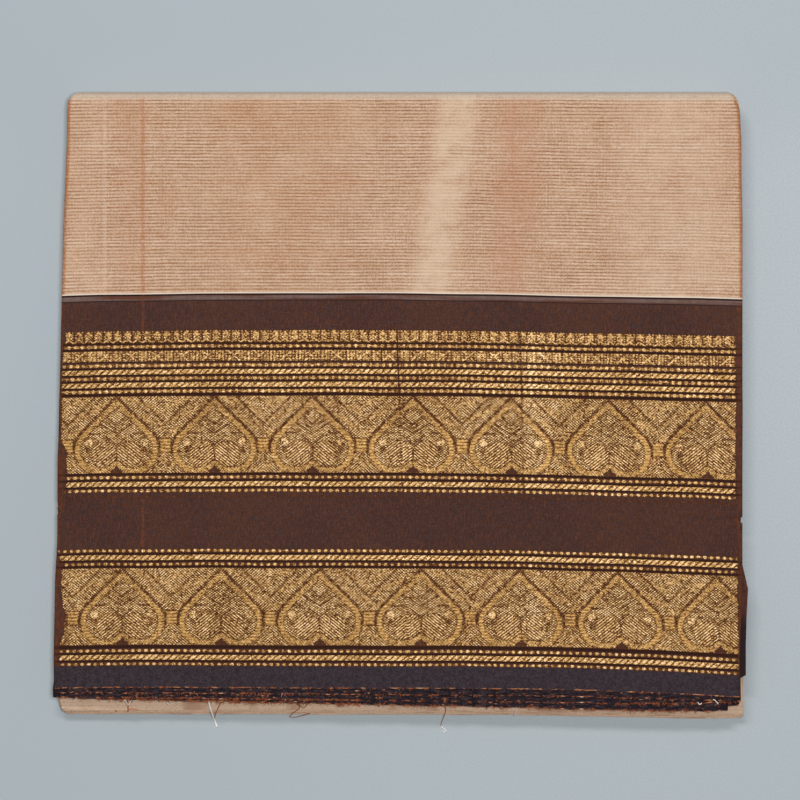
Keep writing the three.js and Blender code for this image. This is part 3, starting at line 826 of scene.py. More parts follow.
# The outline: a satin band with a dark line on either side.
satin_band = edge.fade(-0.45, -0.85) * edge.fade(-LEAF_OUTLINE - 0.4, -LEAF_OUTLINE)
streaks = noise(x, y, 1.6, 0.55, detail=2, seed=56.0)
at_sides = aside.fade(11.0, 16.0)
floats = y.wave(1.5) * at_sides + (y * 0.9 - aside).wave(1.3) * (-at_sides + 1.0)
floats = floats * 0.36 + streaks.fade(0.3, 0.7) * 0.24 + 0.26
inner_line = edge.line(-LEAF_OUTLINE - 0.6, 0.15, 0.45)
outer_line = edge.line(0.15, 0.50, 0.50) * (y.fade(12.0, 18.0) * 0.45 + 0.55)
on_leaf = edge.fade(-0.3, -0.6)
gold = inside * on_leaf + outside * (-on_leaf + 1.0)
gold = gold * (-satin_band + 1.0) + satin_band * floats
worn_line = noise(x, y, 1.8, 1.8, detail=2, seed=58.0).fade(0.30, 0.60) * 0.5 + 0.5
gold = gold * (-(outer_line * 0.68).most(inner_line * 0.40) * worn_line + 1.0)
satin = (satin_band * (aside.fade(9.0, 18.0) * 0.35 + 0.35)).most(block * 0.6)
ends = y.fade(-0.1, 0.4) * y.fade(39.0, 38.4)
give(Gold=gold * ends, Satin=satin * ends)

# What all the zari shares: gold thread wound on silk, dark where the ground shows
# between the floats, bright where single threads catch the light.
given, give = effect(
    "zari finish",
    {"Along": 0.0, "Across": 0.0, "Gold": 0.0, "Satin": 0.0, "Ground": None},
    {"Colour": COLOUR, "Shine": NUMBER, "Height": NUMBER},
)
u, v = given["Along"], given["Across"]
thread = chance(u / 0.58 + 400.0, v / 0.50 + 60.0, seed=71.0)
slub = chance(u / 1.1 + 100.0, v / 0.55 + 30.0, seed=75.0)
wear = noise(u, v, 22, 60, detail=3, seed=72.0)
tilt = noise(u, v, 5.0, 7.0, detail=2, seed=76.0)
speckle = thread * 1.05 + slub * 0.80 + 0.02
gold = given["Gold"] * (speckle * (-given["Satin"] * 0.45 + 1.0) + given["Satin"] * 0.40)
gold = gold * (wear.fade(0.25, 0.6) * 0.2 + 0.83) * (tilt * 0.35 + 0.82)
metal = blend(gold.fade(0.08, 1.0), dye(84, 46, 14), dye(198, 156, 98))
metal = blend(given["Satin"] * 0.38, metal, dye(188, 142, 68))
metal = blend(gold.fade(0.80, 1.35) * 0.80, metal, dye(236, 208, 168))
covered = gold.fade(0.02, 0.42)
between = blend(given["Gold"].fade(0.0, 0.25), given["Ground"], dye(74, 34, 14))
give(
    Colour=blend(covered, between, metal),
    Shine=covered,
    Height=given["Gold"] * 0.10 + thread * 0.06,
)

DOT_ROWS = [11.9, 18.6, 62.1, 68.9, 99.1, 105.8, 149.1, 155.6, 162.1, 171.6]
ROPE_ROWS = [15.3, 65.5, 102.4, 152.4, 158.9]
FAINT_DOTS = 96.1
LOWER_LEAVES = {"up": 21.4, "pitch": 49.4, "start": -138.1, "lean": 0.062}
UPPER_LEAVES = {"up": 107.9, "pitch": 49.0, "start": -91.9, "lean": 0.030}
SECOND_BAND = {"up": 166.8, "half": 2.7, "pitch": 12.9, "start": -146.6}
FLOWERS = {"up": 173.4, "pitch": 4.91, "start": -164.7}


def nearest(value, places):
    """The distance from the nearest of some rising places, and that place's number."""
    away = value - places[0]
    number = None
    for before, after in zip(places, places[1:]):
        passed = value.math("GREATER_THAN", (before + after) / 2)
        away = away - passed * (after - before)
        number = passed if number is None else number + passed
    return away, number


def woven_rows(tree, u, v):
    """Dots and ropes in their rows."""
    away, number = nearest(v, DOT_ROWS)
    bright = (number * 2.4).math("SINE") * 0.08 + 0.92
    # The rows far from the selvedge are fuller.
    far = v.fade(80.0, 150.0)
    high = far * 0.16 + v.fade(10.0, 17.0) * 0.06 + 0.66
    link = far * 0.16 + 0.26
    dots = use(tree, "dot row", Along=u + number * 0.7, Up=away, Half_Height=high, Link=link)
    dots = dots["Gold"] * bright
    away, number = nearest(v, ROPE_ROWS)
    fill = far * 0.04 + u.fade(-165.0, -120.0) * 0.06 + 0.20
    ropes = use(tree, "rope row", Along=u + number * 1.1, Up=away, Fill=fill)["Gold"]
    faint = use(tree, "dot row", Along=u, Up=v - FAINT_DOTS, Half_Height=0.55, Link=0.2)
    return dots.most(ropes).most(faint["Gold"] * 0.2), ropes.most(dots) * 0.2


def leaves_of(row):
    """One of the two leaf bands; towards the right side its leaves lean a little."""
    def made(tree, u, v):
        lift = v - row["up"]
        leaning = u.fade(20.0, 115.0) * (-lift + LEAF_TIP) * row["lean"]
        leaves = use(tree, "leaf band", Along=u - leaning, Up=lift, Pitch=row["pitch"], Start=row["start"])
        return leaves["Gold"], leaves["Satin"]

    return made


def flower_rows(tree, u, v):
    """Crosses between upright bars, a row of dots, and small flowers on two seeds over a zigzag."""
    turn = (u - SECOND_BAND["start"]) / SECOND_BAND["pitch"] + 0.5
    turn = (turn.math("FRACT") - 0.5) * SECOND_BAND["pitch"]
    lift = v - SECOND_BAND["up"]
    inside = abs(lift).fade(SECOND_BAND["half"] + 0.15, SECOND_BAND["half"] - 0.25)
    crosses = abs(abs(turn) * 0.85 - abs(lift)).fade(0.75, 0.3) * abs(turn).fade(4.2, 3.6)
    bars = abs(abs(turn) - 5.6).fade(0.75, 0.4)
    small = abs((abs(turn) - 2.6) * 0.9).fade(0.7, 0.3) * abs(lift).fade(1.0, 1.6) * 0.8
    speckle = (u.wave(1.6) * v.wave(1.25)).fade(0.1, 0.5) * 0.45 + 0.34
    gold = (crosses * 0.82).most(bars * 0.72).most(small * 0.9).most(speckle) * inside
    dots = use(tree, "dot row", Along=u, Up=v - DOT_ROWS[-1], Half_Height=0.82, Link=0.45)["Gold"]
    turn = (u - FLOWERS["start"]) / FLOWERS["pitch"] + 0.5
    turn = abs(turn.math("FRACT") - 0.5) * FLOWERS["pitch"]
    lift = v - FLOWERS["up"]
    zigzag = abs(lift - 2.0 + turn * 0.75).fade(0.7, 0.25) * lift.fade(-0.4, -0.1)
    seeds = (turn - 1.1) * (turn - 1.1) * 1.2 + (lift - 2.75) * (lift - 2.75)
    seeds = seeds.math("SQRT").fade(0.8, 0.35)
    stem = turn.fade(1.0, 0.4) * lift.line(2.9, 0.8, 0.4) * 0.7
    crown = (turn + (lift - 4.4).most(0.0) * 0.95).fade(2.2, 1.6)
    crown = crown * lift.fade(3.5, 3.9) * lift.fade(6.6, 6.1)
    haze = (u.wave(1.6) * v.wave(1.2)).fade(0.1, 0.6) * 0.36 + u.fade(-120.0, -50.0) * 0.10 + 0.14
    flowers = (zigzag * 0.66).most(seeds * 0.8).most(stem * 0.8).most(crown * 0.62)
    flowers = flowers.most(haze * lift.fade(6.3, 5.8)) * lift.fade(-0.4, -0.1)
    return (gold * 0.9).most(dots * 0.9).most(flowers), dots * 0.3


# The dark lines between the rows of each weave, and where its two old creases cross it, with how strong a
# painted sheen each crease has on one side.
ROW_GAPS = {
    "rows": [
        13.4, 17.1, 20.2, 60.9, 63.7, 67.3, 100.7, 104.2, 107.3, 147.6, 150.6, 154.0, 157.1, 160.5,
    ],
    "flowers": [163.7, 170.1, 173.1],
    "lower leaves": [20.8, 60.8],
    "upper leaves": [107.4, 147.2],
}
WEAVES = {
    "rows": woven_rows,
    "flowers": flower_rows,
    "lower leaves": leaves_of(LOWER_LEAVES),
    "upper leaves": leaves_of(UPPER_LEAVES),
}
OLD_CREASES = [
    {"x": 0.4, "lean": -0.035, "slip": 1.3, "dark": 0.75, "bright": 0.06},
    {"x": 61.6, "lean": -0.02, "slip": -0.6, "dark": 0.50, "bright": 0.30},
]


def border_material(weave):
    """The border's cloth with one of its weaves."""
    material, tree, shader, (along, across, rim) = surface("border " + weave, roughness=0.6, sheen=0.02)
    ground = use(tree, "shot ground", Along=along, Across=across)
    colour = ground["Colour"]
    height = ground["Height"]
    side_wear = noise(along, across, 2.4, 3.0, detail=3, seed=73.0)
    attribute = tree.nodes.new("ShaderNodeAttribute")
    attribute.attribute_name = "zari_begins"
    past_side = rim - Value(tree, attribute.outputs["Fac"])
    if weave in WEAVES:
        # The floats break and slip where the cloth was long folded, and beside each crease the gold gets a
        # painted sheen on one side.
        u = along
        broken = None
        crease_sheen = None
        ragged = noise(along, across, 1.4, 1.6, detail=2, seed=62.0) - 0.5
        in_rows = 1.0 if weave in ("rows", "flowers") else 0.35
        for row in OLD_CREASES:
            past = along - (across - 150.0) * row["lean"] - row["x"] + ragged * 1.8
            fading = across.fade(60.0, 150.0) * 0.6 + 0.4
            u = u - past.fade(-0.5, 0.5) * row["slip"]
            made = abs(past).fade(0.85, 0.15) * fading * (row["dark"] * in_rows)
            broken = made if broken is None else broken.most(made)
            # a painted sheen on one side of the crease
            made = past.fade(0.3, 1.5) * past.fade(16.0, 5.0) * fading * row["bright"]
            crease_sheen = made if crease_sheen is None else crease_sheen + made
        gold, satin = WEAVES[weave](tree, u, across)
        gold = gold * (-broken + 1.0) * (crease_sheen + 1.0)
        kept = (past_side + (side_wear - 0.5) * 2.2).fade(-0.3, 0.3)
        zari = use(
            tree, "zari finish", Along=along, Across=across,
            Gold=gold * kept, Satin=satin * kept, Ground=colour,
        )
        away, number = nearest(across, ROW_GAPS[weave])
        gap = abs(away).fade(0.66, 0.25)
        colour = blend(gap * 0.85, zari["Colour"], dye(42, 17, 6))
        height = height * 0.5 + zari["Height"] - gap * 0.10
        tree.links.new((zari["Shine"] * 0.3).socket, shader.inputs["Metallic"])
        tree.links.new((zari["Shine"] * -0.15 + 0.6).socket, shader.inputs["Roughness"])
    # The folded side edges are rust brown.
    side = past_side.fade(0.3, -1.6) * (side_wear.fade(0.3, 0.7) * 0.4 + 0.05)
    side = side.most(rim.fade(3.2, 2.4) * (side_wear.fade(0.3, 0.6) * 0.5 + 0.1))
    side = side * across.fade(NAVY_ENDS - 1.0, NAVY_ENDS + 3.0)
    colour = blend(side, colour, dye(116, 62, 28))
    # The very turn of each side fold is darkened: painted shade where the cloth rounds down away from the
    # light.
    colour = blend(rim.fade(2.2, 1.4) * 0.40, colour, dye(44, 24, 18))
    if weave == "plain":
        # At the join the ply below shows through a thin strip, between two dark lines. The upper one, just
        # under the field's edge, is a painted shadow of that edge.
        strip = across.line(JOIN - 2.1, 1.0, 0.3) * (side_wear.fade(0.3, 0.7) * 0.25 + 0.5)
        shown = noise(along, across, 60, 3.0, detail=3, seed=77.0)
        shown_dye = blend(shown.fade(0.42, 0.60), dye(104, 62, 44), dye(124, 104, 98))
        colour = blend(strip, colour, shown_dye)
        colour = blend(across.line(JOIN - 3.4, 0.1, 0.35) * 0.75, colour, dye(30, 16, 16))
        # painted shadow of the field's edge on the border
        colour = blend(across.fade(JOIN - 1.0, JOIN - 0.6) * 0.9, colour, dye(30, 18, 18))
        # The selvedge ends in a pale edge thread with rust weft caught in it.
        edge_thread = noise(along, across, 3.2, 1.0, detail=3, seed=74.0)
        last = across.fade(0.62, 0.35)
        colour = blend(last * edge_thread.fade(0.48, 0.56), colour, dye(170, 106, 64))
        colour = blend(last * edge_thread.fade(0.6, 0.68), colour, dye(210, 180, 152))
        # The rust weft bar of the field runs on through the brown, fainter.
        in_brown = across.fade(NAVY_ENDS, NAVY_ENDS + 4.0)
        bar = along.line(BAR, 0.5, 0.5) * (side_wear.fade(0.3, 0.6) * 0.2 + 0.06) * in_brown
        colour = blend(bar, colour, dye(140, 72, 38))
    tree.links.new(colour.socket, shader.inputs["Base Color"])
    raise_up(tree, shader, height)
    return material


border_weaves = sorted({band["weave"] for band in BORDER_BANDS})
for weave in border_weaves:
    border.data.materials.append(border_material(weave))
rows_of_faces = (border_run[:-1] + border_run[1:]) / 2
band_of_row = np.searchsorted(band_starts[1:-1], rows_of_faces)
weave_of_row = [border_weaves.index(BORDER_BANDS[band]["weave"]) for band in band_of_row]
faces_in_row = len(border.data.polygons) // len(rows_of_faces)
weave_of_face = np.repeat(weave_of_row, faces_in_row).astype(np.int32)
border.data.polygons.foreach_set("material_index", weave_of_face)
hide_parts("top_border")
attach(border, "root")

# The three plies under the top one: the same cloth, each folded over the back inside the
# one above and held only by the weight of the fold. In front their navy selvedges step
# out, and in the lower half each ends in the fold down the cloth's middle.
PLY_PITCH = 0.56
INNER_ROLL = {"roll": 0.26, "drop": 0.16}
NESTED = 15
# How far the folds of the lower plies lie out in front, from left to right.
LOWER_BOW = {"x": [-171, 20, 55, 95, 150, 171], "out": [-0.6, -0.3, -0.1, 0.5, 1.7, 1.3]}
# The lower plies' front left corner draws in over a long stretch, slants, and ends in a
# round; their right side stands at one place in front, with a smaller round.
LOWER_LEFT = {
    "draws_from": 90, "draws_to": 140, "draws": 1.1,
    "slants_from": 147.0, "slants_long": 7.6, "slants": 0.28,
    "round_from": 152.6, "round_long": 3.4, "round": 2.6,
}
LOWER_RIGHT = {
    "at": 173.2, "from": 125, "to": 137,
    "round_from": 155.0, "round_long": 2.4, "round": 1.6,
}


def front_round(row, forward):
    """How far a corner of the lower plies is cut, at a distance forward of the middle."""
    return row["round"] * np.clip((forward - row["round_from"]) / row["round_long"], 0, 1) ** 2


def lower_sides(left, right, y):
    """The side edges of the lower plies."""
    low_left = left + LOWER_LEFT["draws"] * smooth(-y, LOWER_LEFT["draws_from"], LOWER_LEFT["draws_to"])
    slanting = np.clip(-y - LOWER_LEFT["slants_from"], 0, LOWER_LEFT["slants_long"])
    low_left = low_left + LOWER_LEFT["slants"] * slanting + front_round(LOWER_LEFT, -y)
    at_front = smooth(-y, LOWER_RIGHT["from"], LOWER_RIGHT["to"])
    low_right = LOWER_RIGHT["at"] - front_round(LOWER_RIGHT, -y)
    return low_left, np.minimum(right, low_right) * (1 - at_front) + low_right * at_front


def bow_lower_front(mesh, wave=None):
    """Moves the lower front of a ply out or back along its width."""
    points = np.empty(len(mesh.vertices) * 3, dtype=np.float32)
    mesh.vertices.foreach_get("co", points)
    points = points.reshape(-1, 3)
    low_front = (points[:, 2] < MIDDLE * MM) * (1 - smooth(points[:, 1], -155 * MM, -120 * MM))
    x = points[:, 0] / MM
    out = np.interp(x, LOWER_BOW["x"], LOWER_BOW["out"])
    if wave:
        out = out + wave(x)
    points[:, 1] -= low_front * out * MM
    mesh.vertices.foreach_set("co", points.reshape(-1))
    mesh.update()


INNER_CORNERS = {"left": 5.2, "right": 4.2}


def nested_edges(seed, draw_in, lower_in, jut, left_out):
    """The side edges of an inner ply: uneven, and a little out of line with each other."""
    wave_left, wave_right = wander(seed, 0.3, 90), wander(seed + 1, 0.3, 110)
    fine_left, fine_right = wander(seed + 2, 0.12, 17), wander(seed + 3, 0.12, 19)

    def edges(rows, left_y, right_y):
        left, right = side_edges(left_y, right_y)
        corner = back_corner(rows)
        below = smooth(np.arange(len(rows)) - np.argmax(rows[:, 0]), -4, 4)
        stretch = 60 * below
        left = left + draw_in[0] - left_out * smooth(-left_y, 134, 142)
        right = right - draw_in[1]
        if jut:
            jutting = smooth(-right_y, -jut["from"], 12 - jut["from"])
            jutting = jutting * (1 - smooth(-right_y, -jut["to"], 0.8 - jut["to"]))
            right = right + jut["out"] * jutting
        low_left, low_right = lower_sides(left, right, rows[:, 0])
        low_left, low_right = low_left + lower_in[0], low_right - lower_in[1]
        left = left + (low_left - left) * below
        right = right + (low_right - right) * below
        left = left + wave_left(left_y + stretch) + fine_left(left_y + stretch)
        right = right - wave_right(right_y + stretch) - fine_right(right_y + stretch)
        return left + INNER_CORNERS["left"] * corner, right - INNER_CORNERS["right"] * corner

    return edges


def nested_ply(
    name, k, front_table, draw_in, lower_front, lower_in, seed, jut=None, left_out=0.0, shown=False,
):
    """One inner ply, k plies below the outer one, with finer rows where it shows."""
    half = MIDDLE - k * PLY_PITCH
    front_x, front_y = front_table
    ruffle, fine_ruffle = wander(seed + 11, 0.25, 40), wander(seed + 12, 0.20, 7)
    curl = wander(seed + 14, 0.30, 13)
    if shown:
        at_selvedge = np.concatenate([[0, 0.7], np.arange(1.4, 16, 1.0)])
        at_pinches = np.concatenate([np.arange(28, 84, 14), np.arange(85, 95, 0.8)])
        to_back = np.concatenate([np.arange(107, 290, 14), np.arange(288, 297, 3)])
        upper = np.concatenate([at_selvedge, at_pinches, to_back])
        columns = np.linspace(0, 1, 150)
    else:
        upper = np.concatenate([[0, 2, 5, 9, 14], np.arange(28, 290, 20), np.arange(288, 297, 4)])
        columns = np.linspace(0, 1, 44)
    lower = np.concatenate([[0.3, 1.2, 2.5, 4.5, 7, 10], np.arange(16, REACH, 20)])
    rows, run = ply_rows(
        half, SELVEDGE, upper, lower, front_below=lower_front, front_roll=INNER_ROLL["roll"],
    )
    lower_wave = wander(seed + 13, 0.30, 70)

    def bend(x, from_selvedge):
        shift = SELVEDGE - np.interp(x, front_x, front_y) + ruffle(x)
        ragged = fine_ruffle(x) * (1 - smooth(from_selvedge, 0.0, 4.0))
        return shift * (1 - smooth(from_selvedge, 0.0, REACH)) + ragged

    def relief(x, y):
        return curl(x) * np.clip((y + 130) / -15, 0, 1)

    edges = nested_edges(seed, draw_in, lower_in, jut, left_out)
    mesh = ply_mesh(
        name, rows, run, edges,
        columns=columns, bend=bend, relief=relief if shown else None, **INNER_ROLL,
    )
    bow_lower_front(mesh, lower_wave)
    return mesh


# The ply edges' cloth: the border's ground near the selvedge, the field's tissue
# beyond it, and rust along the side folds.
material, tree, shader, (along, across, rim) = surface("ply edges", roughness=0.75, sheen=0.03)
ground = use(tree, "shot ground", Along=along, Across=across)
tissue = use(tree, "striped tissue", Along=along, Across=across, Contrast=0.8)
in_field = across.fade(JOIN - 0.3, JOIN + 0.3)
colour = blend(in_field, ground["Colour"], tissue["Colour"])
worn = noise(along, across, 2.0, 5.0, detail=3, seed=81.0)
side = rim.fade(1.6, 0.6) * (worn.fade(0.3, 0.7) * 0.6 + 0.2)
side_dye = blend(in_field, dye(104, 56, 36), dye(182, 130, 94))
colour = blend(side * 0.8, colour, side_dye)



def in_the_scene(tree):
    """Where a point of a piece lies in the scene, in millimetres."""
    where = tree.nodes.new("ShaderNodeTexCoord")
    return [part / MM for part in three_values(tree, where.outputs["Object"])]


# Where a ply ends in a selvedge it is darkened to nearly black in patches, as painted shade under the edge
# of the ply above. Rust and cream weft ends are in it.
near_end = across.fade(9.0, 5.0)
shade_patches = noise(along, across, 5.0, 1.2, detail=3, seed=84.0)
x, y, z = in_the_scene(tree)
speck = chance(x / 0.95, y / 0.5, seed=85.0)
clumps = noise(x, y, 3.6, 1.3, detail=3, seed=86.0)
colour = blend(near_end * shade_patches.fade(0.38, 0.56) * 0.8, colour, dye(22, 18, 24))
busy = noise(x, y, 26.0, 9.0, detail=2, seed=88.0).fade(0.36, 0.58)
rust_specks = speck.fade(0.62, 0.95) * clumps.fade(0.50, 0.64) * near_end * (busy * 0.85 + 0.15)
colour = blend(rust_specks * 0.7, colour, dye(158, 78, 32))
colour = blend(rust_specks * speck.fade(0.93, 0.99) * 0.7, colour, dye(210, 160, 112))
# Near-black on the plies' sides near the selvedge: painted shade where they lie under the ply above.
shaded_side = rim.fade(4.5, 3.5) * across.fade(48.0, 36.0)
colour = blend(shaded_side * 0.85, colour, dye(28, 23, 28))
# The middle folds of the lower half are painted paler than the field's own beige, as painted light on these
# forward-facing folds, with a fine grain along them.
fold_front = across.fade(575.0, 590.0)
streaks = noise(x, z, 20.0, 0.45, detail=3, seed=82.0)
fuzz = chance(x / 0.9, y / 0.5, seed=87.0)
colour = blend(fold_front * 0.75, colour, dye(221, 191, 164))
colour = blend(fold_front * streaks.fade(0.52, 0.64) * 0.6, colour, dye(160, 116, 88))
colour = blend(fold_front * fuzz.fade(0.5, 1.0) * 0.35, colour, dye(170, 134, 108))
edge_thread = noise(along, across, 3.0, 1.0, detail=3, seed=83.0)
last = across.fade(0.6, 0.35)
colour = blend(last * edge_thread.fade(0.50, 0.58), colour, dye(150, 82, 44))
colour = blend(last * edge_thread.fade(0.62, 0.7), colour, dye(206, 178, 150))
tree.links.new(colour.socket, shader.inputs["Base Color"])
raise_up(tree, shader, ground["Height"] * 0.8 + tissue["Height"] * 0.5)
ply_material = material

STEPPED = [
    {
        "name": "second_ply",
        "x": [-172, -80, 65, 120, 171],
        "front": [-143.9, -144.3, -145.4, -146.6, -148.3],
        "draw_in": (0.7, 0.6),
        "left_out": 0.9,
        "jut": {"from": -80.0, "to": -135.4, "out": 3.3},
    },
    {
        "name": "third_ply",
        "x": [-172, -80, 0, 65, 120, 152, 171],
        "front": [-146.2, -147.0, -147.9, -148.8, -149.4, -149.3, -148.3],
        "draw_in": (0.9, 0.2),
        "left_out": 1.6,
        "jut": None,
    },
    {
        "name": "fourth_ply",
        "x": [-172, -160, -50, 65, 100, 155, 162],
        "front": [-145.0, -146.8, -149.1, -151.4, -152.5, -153.3, -152.6],
        "draw_in": (1.6, 6.5),
        "left_out": 0.0,
        "jut": None,
    },
]
LOWER_FRONT = {"outermost": -156.1, "innermost": -153.2, "uneven": 0.3}


def front_of_lower(k, draw):
    """Where the fold of a lower ply ends in front: each a little behind the one under it."""
    share = k / NESTED
    slope = LOWER_FRONT["outermost"] + (LOWER_FRONT["innermost"] - LOWER_FRONT["outermost"]) * share
    return slope + draw.uniform(-1, 1) * LOWER_FRONT["uneven"]


def sides_of_lower(draw):
    """How far a lower ply's sides stand in, at the left and at the right."""
    return draw.uniform(-0.3, 0.3), draw.uniform(0.0, 0.5)


draw = random.Random(5)
selvedge_lines = [border_mesh]
for k, ply in enumerate(STEPPED, start=1):
    mesh = nested_ply(
        ply["name"], k, (ply["x"], ply["front"]), ply["draw_in"],
        front_of_lower(k, draw), sides_of_lower(draw), seed=100 + 20 * k,
        jut=ply["jut"], left_out=ply["left_out"], shown=True,
    )
    selvedge_lines.append(mesh)
    piece = put_in_place(ply["name"] + "_cloth", mesh)
    thicken(piece)
    piece.data.materials.append(ply_material)
    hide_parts(ply["name"])
    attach(piece, "root")


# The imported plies: the rest of the folded cloth, pressed flat between the plies above and
# the underside. Only their edges show, so each is a sheet with few rows, and the twelve
# are joined in one piece.
PACKED_FRONT = {"x": [-172, -80, 65, 150, 171], "y": [-145.0, -146.5, -149.8, -151.2, -150.0]}


def joined(name, meshes):
    """Several meshes as one, with their places in the cloth."""
    made = put_in_place(name, meshes[0])
    others = [put_in_place(name + "_part", mesh) for mesh in meshes[1:]]
    with bpy.context.temp_override(active_object=made, selected_editable_objects=[made, *others]):
        bpy.ops.object.join()
    made.name = name
    return made


inner = []
for k in range(len(STEPPED) + 1, NESTED + 1):
    forward = draw.uniform(0.0, 1.0)
    front_y = [y - forward for y in PACKED_FRONT["y"][:-1]] + PACKED_FRONT["y"][-1:]
    draw_in = (draw.uniform(0.0, 1.1), draw.uniform(0.6, 2.0))
    inner.append(nested_ply(
        "inner", k, (PACKED_FRONT["x"], front_y), draw_in,
        front_of_lower(k, draw), sides_of_lower(draw), seed=300 + 20 * k,
    ))
packed = joined("packed_plies", inner)
thicken(packed)
packed.data.materials.clear()
packed.data.materials.append(ply_material)
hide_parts("hidden_plies")
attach(packed, "root")

# The underside: the outer ply from the middle of the back to its fold in front. It is
# the field's beige tissue, pressed flat by the stack on whatever the saree rests on.
under_rows = outer_rows[at_back:]
under_run = outer_along[at_back:]
UNDER_COLUMNS = np.linspace(0, 1, 60)
UNDER_ROLL = {"roll": 0.5, "drop": 0.3}


def under_edges(rows, left_y, right_y):
    """The underside's edges: the upper plies' at the back, and the lower plies' in front."""
    left, right = outer_edges(rows, left_y, right_y)
    turned = smooth(np.arange(len(rows)), 0, 8)
    low_left, low_right = lower_sides(left, right, rows[:, 0])
    return left + (low_left - left) * turned, right + (low_right - right) * turned


under_mesh = ply_mesh(
    "underside", under_rows, under_run, under_edges,
    columns=UNDER_COLUMNS, bend=lambda x, run: x * 0.0, **UNDER_ROLL,
)
bow_lower_front(under_mesh)
under = put_in_place("underside", under_mesh)
thicken(under)
under.data.materials.append(field.data.materials[0])
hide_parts("under_field")
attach(under, "root")
under_long = under_run[-1] - under_run[0]
under_long * MM

# The cut weft ends along the selvedges: short tufts of rust, brown and cream thread
# that have worked loose from each of the four plies that show.
THREAD_RADIUS = 0.10
TUFT_TONES = [0.05, 0.15, 0.25, 0.32, 0.38, 0.42, 0.5, 0.56]
TUFTS = [
    {"ply": 0, "count": 90, "long": 1.3, "strands": 4},
    {"ply": 1, "count": 110, "long": 1.5, "strands": 4},
    {"ply": 2, "count": 180, "long": 1.7, "strands": 5},
    {"ply": 3, "count": 220, "long": 1.9, "strands": 5},
]
# Every second tuft stands near one of these places.
THICK_PLACES = [
    {"x": -30.0, "wide": 30.0},
    {"x": 125.0, "wide": 24.0},
    {"x": -118.0, "wide": 26.0},
    {"x": -75.0, "wide": 12.0},
]


class Strands:
    """Loose threads gathered into one mesh: thin tubes, each with a tint from 0, brown, over
    rust to 1, cream."""

    def __init__(self):
        self.points = []
        self.faces = []
        self.tints = []

    def add(self, line, radius, tint, sides=3):
        line = np.array(line, dtype=float)
        steps = np.gradient(line, axis=0)
        first = len(self.points)
        for place, step in zip(line, steps):
            step = step / max(np.linalg.norm(step), 1e-6)
            across = np.cross(step, (0.0, 0.0, 1.0))
            if np.linalg.norm(across) < 0.1:
                across = np.cross(step, (1.0, 0.0, 0.0))
            across = across / np.linalg.norm(across)
            over = np.cross(across, step)
            for side in range(sides):
                turn = 2 * math.pi * side / sides
                self.points.append(place + radius * (math.cos(turn) * across + math.sin(turn) * over))
                self.tints.append(tint)
        for ring in range(len(line) - 1):
            for side in range(sides):
                a = first + ring * sides + side
                b = first + ring * sides + (side + 1) % sides
                self.faces.append((a, b, b + sides, a + sides))
        last = first + (len(line) - 1) * sides
        self.faces.append(tuple(range(first + sides - 1, first - 1, -1)))
        self.faces.append(tuple(range(last, last + sides)))

    def piece(self, name, material):
        mesh = bpy.data.meshes.new(name)
        mesh.from_pydata((np.array(self.points) * MM).tolist(), [], self.faces)
        tint = mesh.attributes.new("tint", "FLOAT", "POINT")
        tint.data.foreach_set("value", np.array(self.tints, dtype=np.float32))
        mesh.shade_smooth()
        made = put_in_place(name, mesh)
        made.data.materials.append(material)
        return made


thread_material, tree, shader = new_material("loose thread", roughness=0.7, sheen=0.1, specular=0.2)
attribute = tree.nodes.new("ShaderNodeAttribute")
attribute.attribute_name = "tint"
tint = Value(tree, attribute.outputs["Fac"])
x, y = in_the_scene(tree)[:2]
fibre = noise(x, y, 0.5, 0.5, detail=2, seed=91.0)
colour = blend(tint.fade(0.0, 0.3), dye(58, 30, 20), dye(154, 72, 26))
colour = blend(tint.fade(0.3, 0.6), colour, dye(196, 106, 48))
colour = blend(tint.fade(0.6, 0.95), colour, dye(255, 252, 246))
colour = blend(fibre.fade(0.45, 0.75) * tint.fade(0.9, 0.6) * 0.3, colour, dye(110, 60, 34))
tree.links.new(colour.socket, shader.inputs["Base Color"])
raise_up(tree, shader, fibre * 0.05)

draw = random.Random(17)
frays = Strands()
for row in TUFTS:
    mesh = selvedge_lines[row["ply"]]
    # The ply's first row of vertices lies on its selvedge.
    line = []
    for vertex in mesh.vertices:
        if mesh.attributes["cloth"].data[vertex.index].vector[1] > 0.01:
            break
        line.append(tuple(vertex.co / MM))
    line = np.array(line)
    for tuft in range(row["count"]):
        if tuft % 2:
            thick = draw.choice(THICK_PLACES)
            middle = draw.gauss(thick["x"], thick["wide"] * 0.6)
        else:
            middle = draw.uniform(line[0, 0], line[-1, 0])
        tone = draw.choice(TUFT_TONES)
        for strand in range(draw.randint(2, row["strands"])):
            x = min(max(middle + draw.gauss(0, 0.4), line[5, 0]), line[-6, 0])
            y = float(np.interp(x, line[:, 0], line[:, 1]))
            z = float(np.interp(x, line[:, 0], line[:, 2]))
            heading = math.radians(draw.gauss(-90, 40))
            turning = math.radians(draw.gauss(0, 35))
            long = row["long"] * draw.uniform(0.35, 1.15)
            rise = draw.uniform(-0.25, 0.35)
            places = [(x + draw.gauss(0, 0.2), y + draw.uniform(0.2, 0.9), z + 0.06)]
            for step in range(3):
                before = places[-1]
                angle = heading + turning * step
                climb = rise * (1 - step) * 0.5
                places.append((
                    before[0] + (long / 3) * math.cos(angle),
                    before[1] + (long / 3) * math.sin(angle),
                    before[2] + climb * long / 3,
                ))
            frays.add(places, THREAD_RADIUS, min(max(tone + draw.gauss(0, 0.08), 0.0), 1.0))
cut_ends = frays.piece("cut_weft_ends", thread_material)
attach(cut_ends, "root")
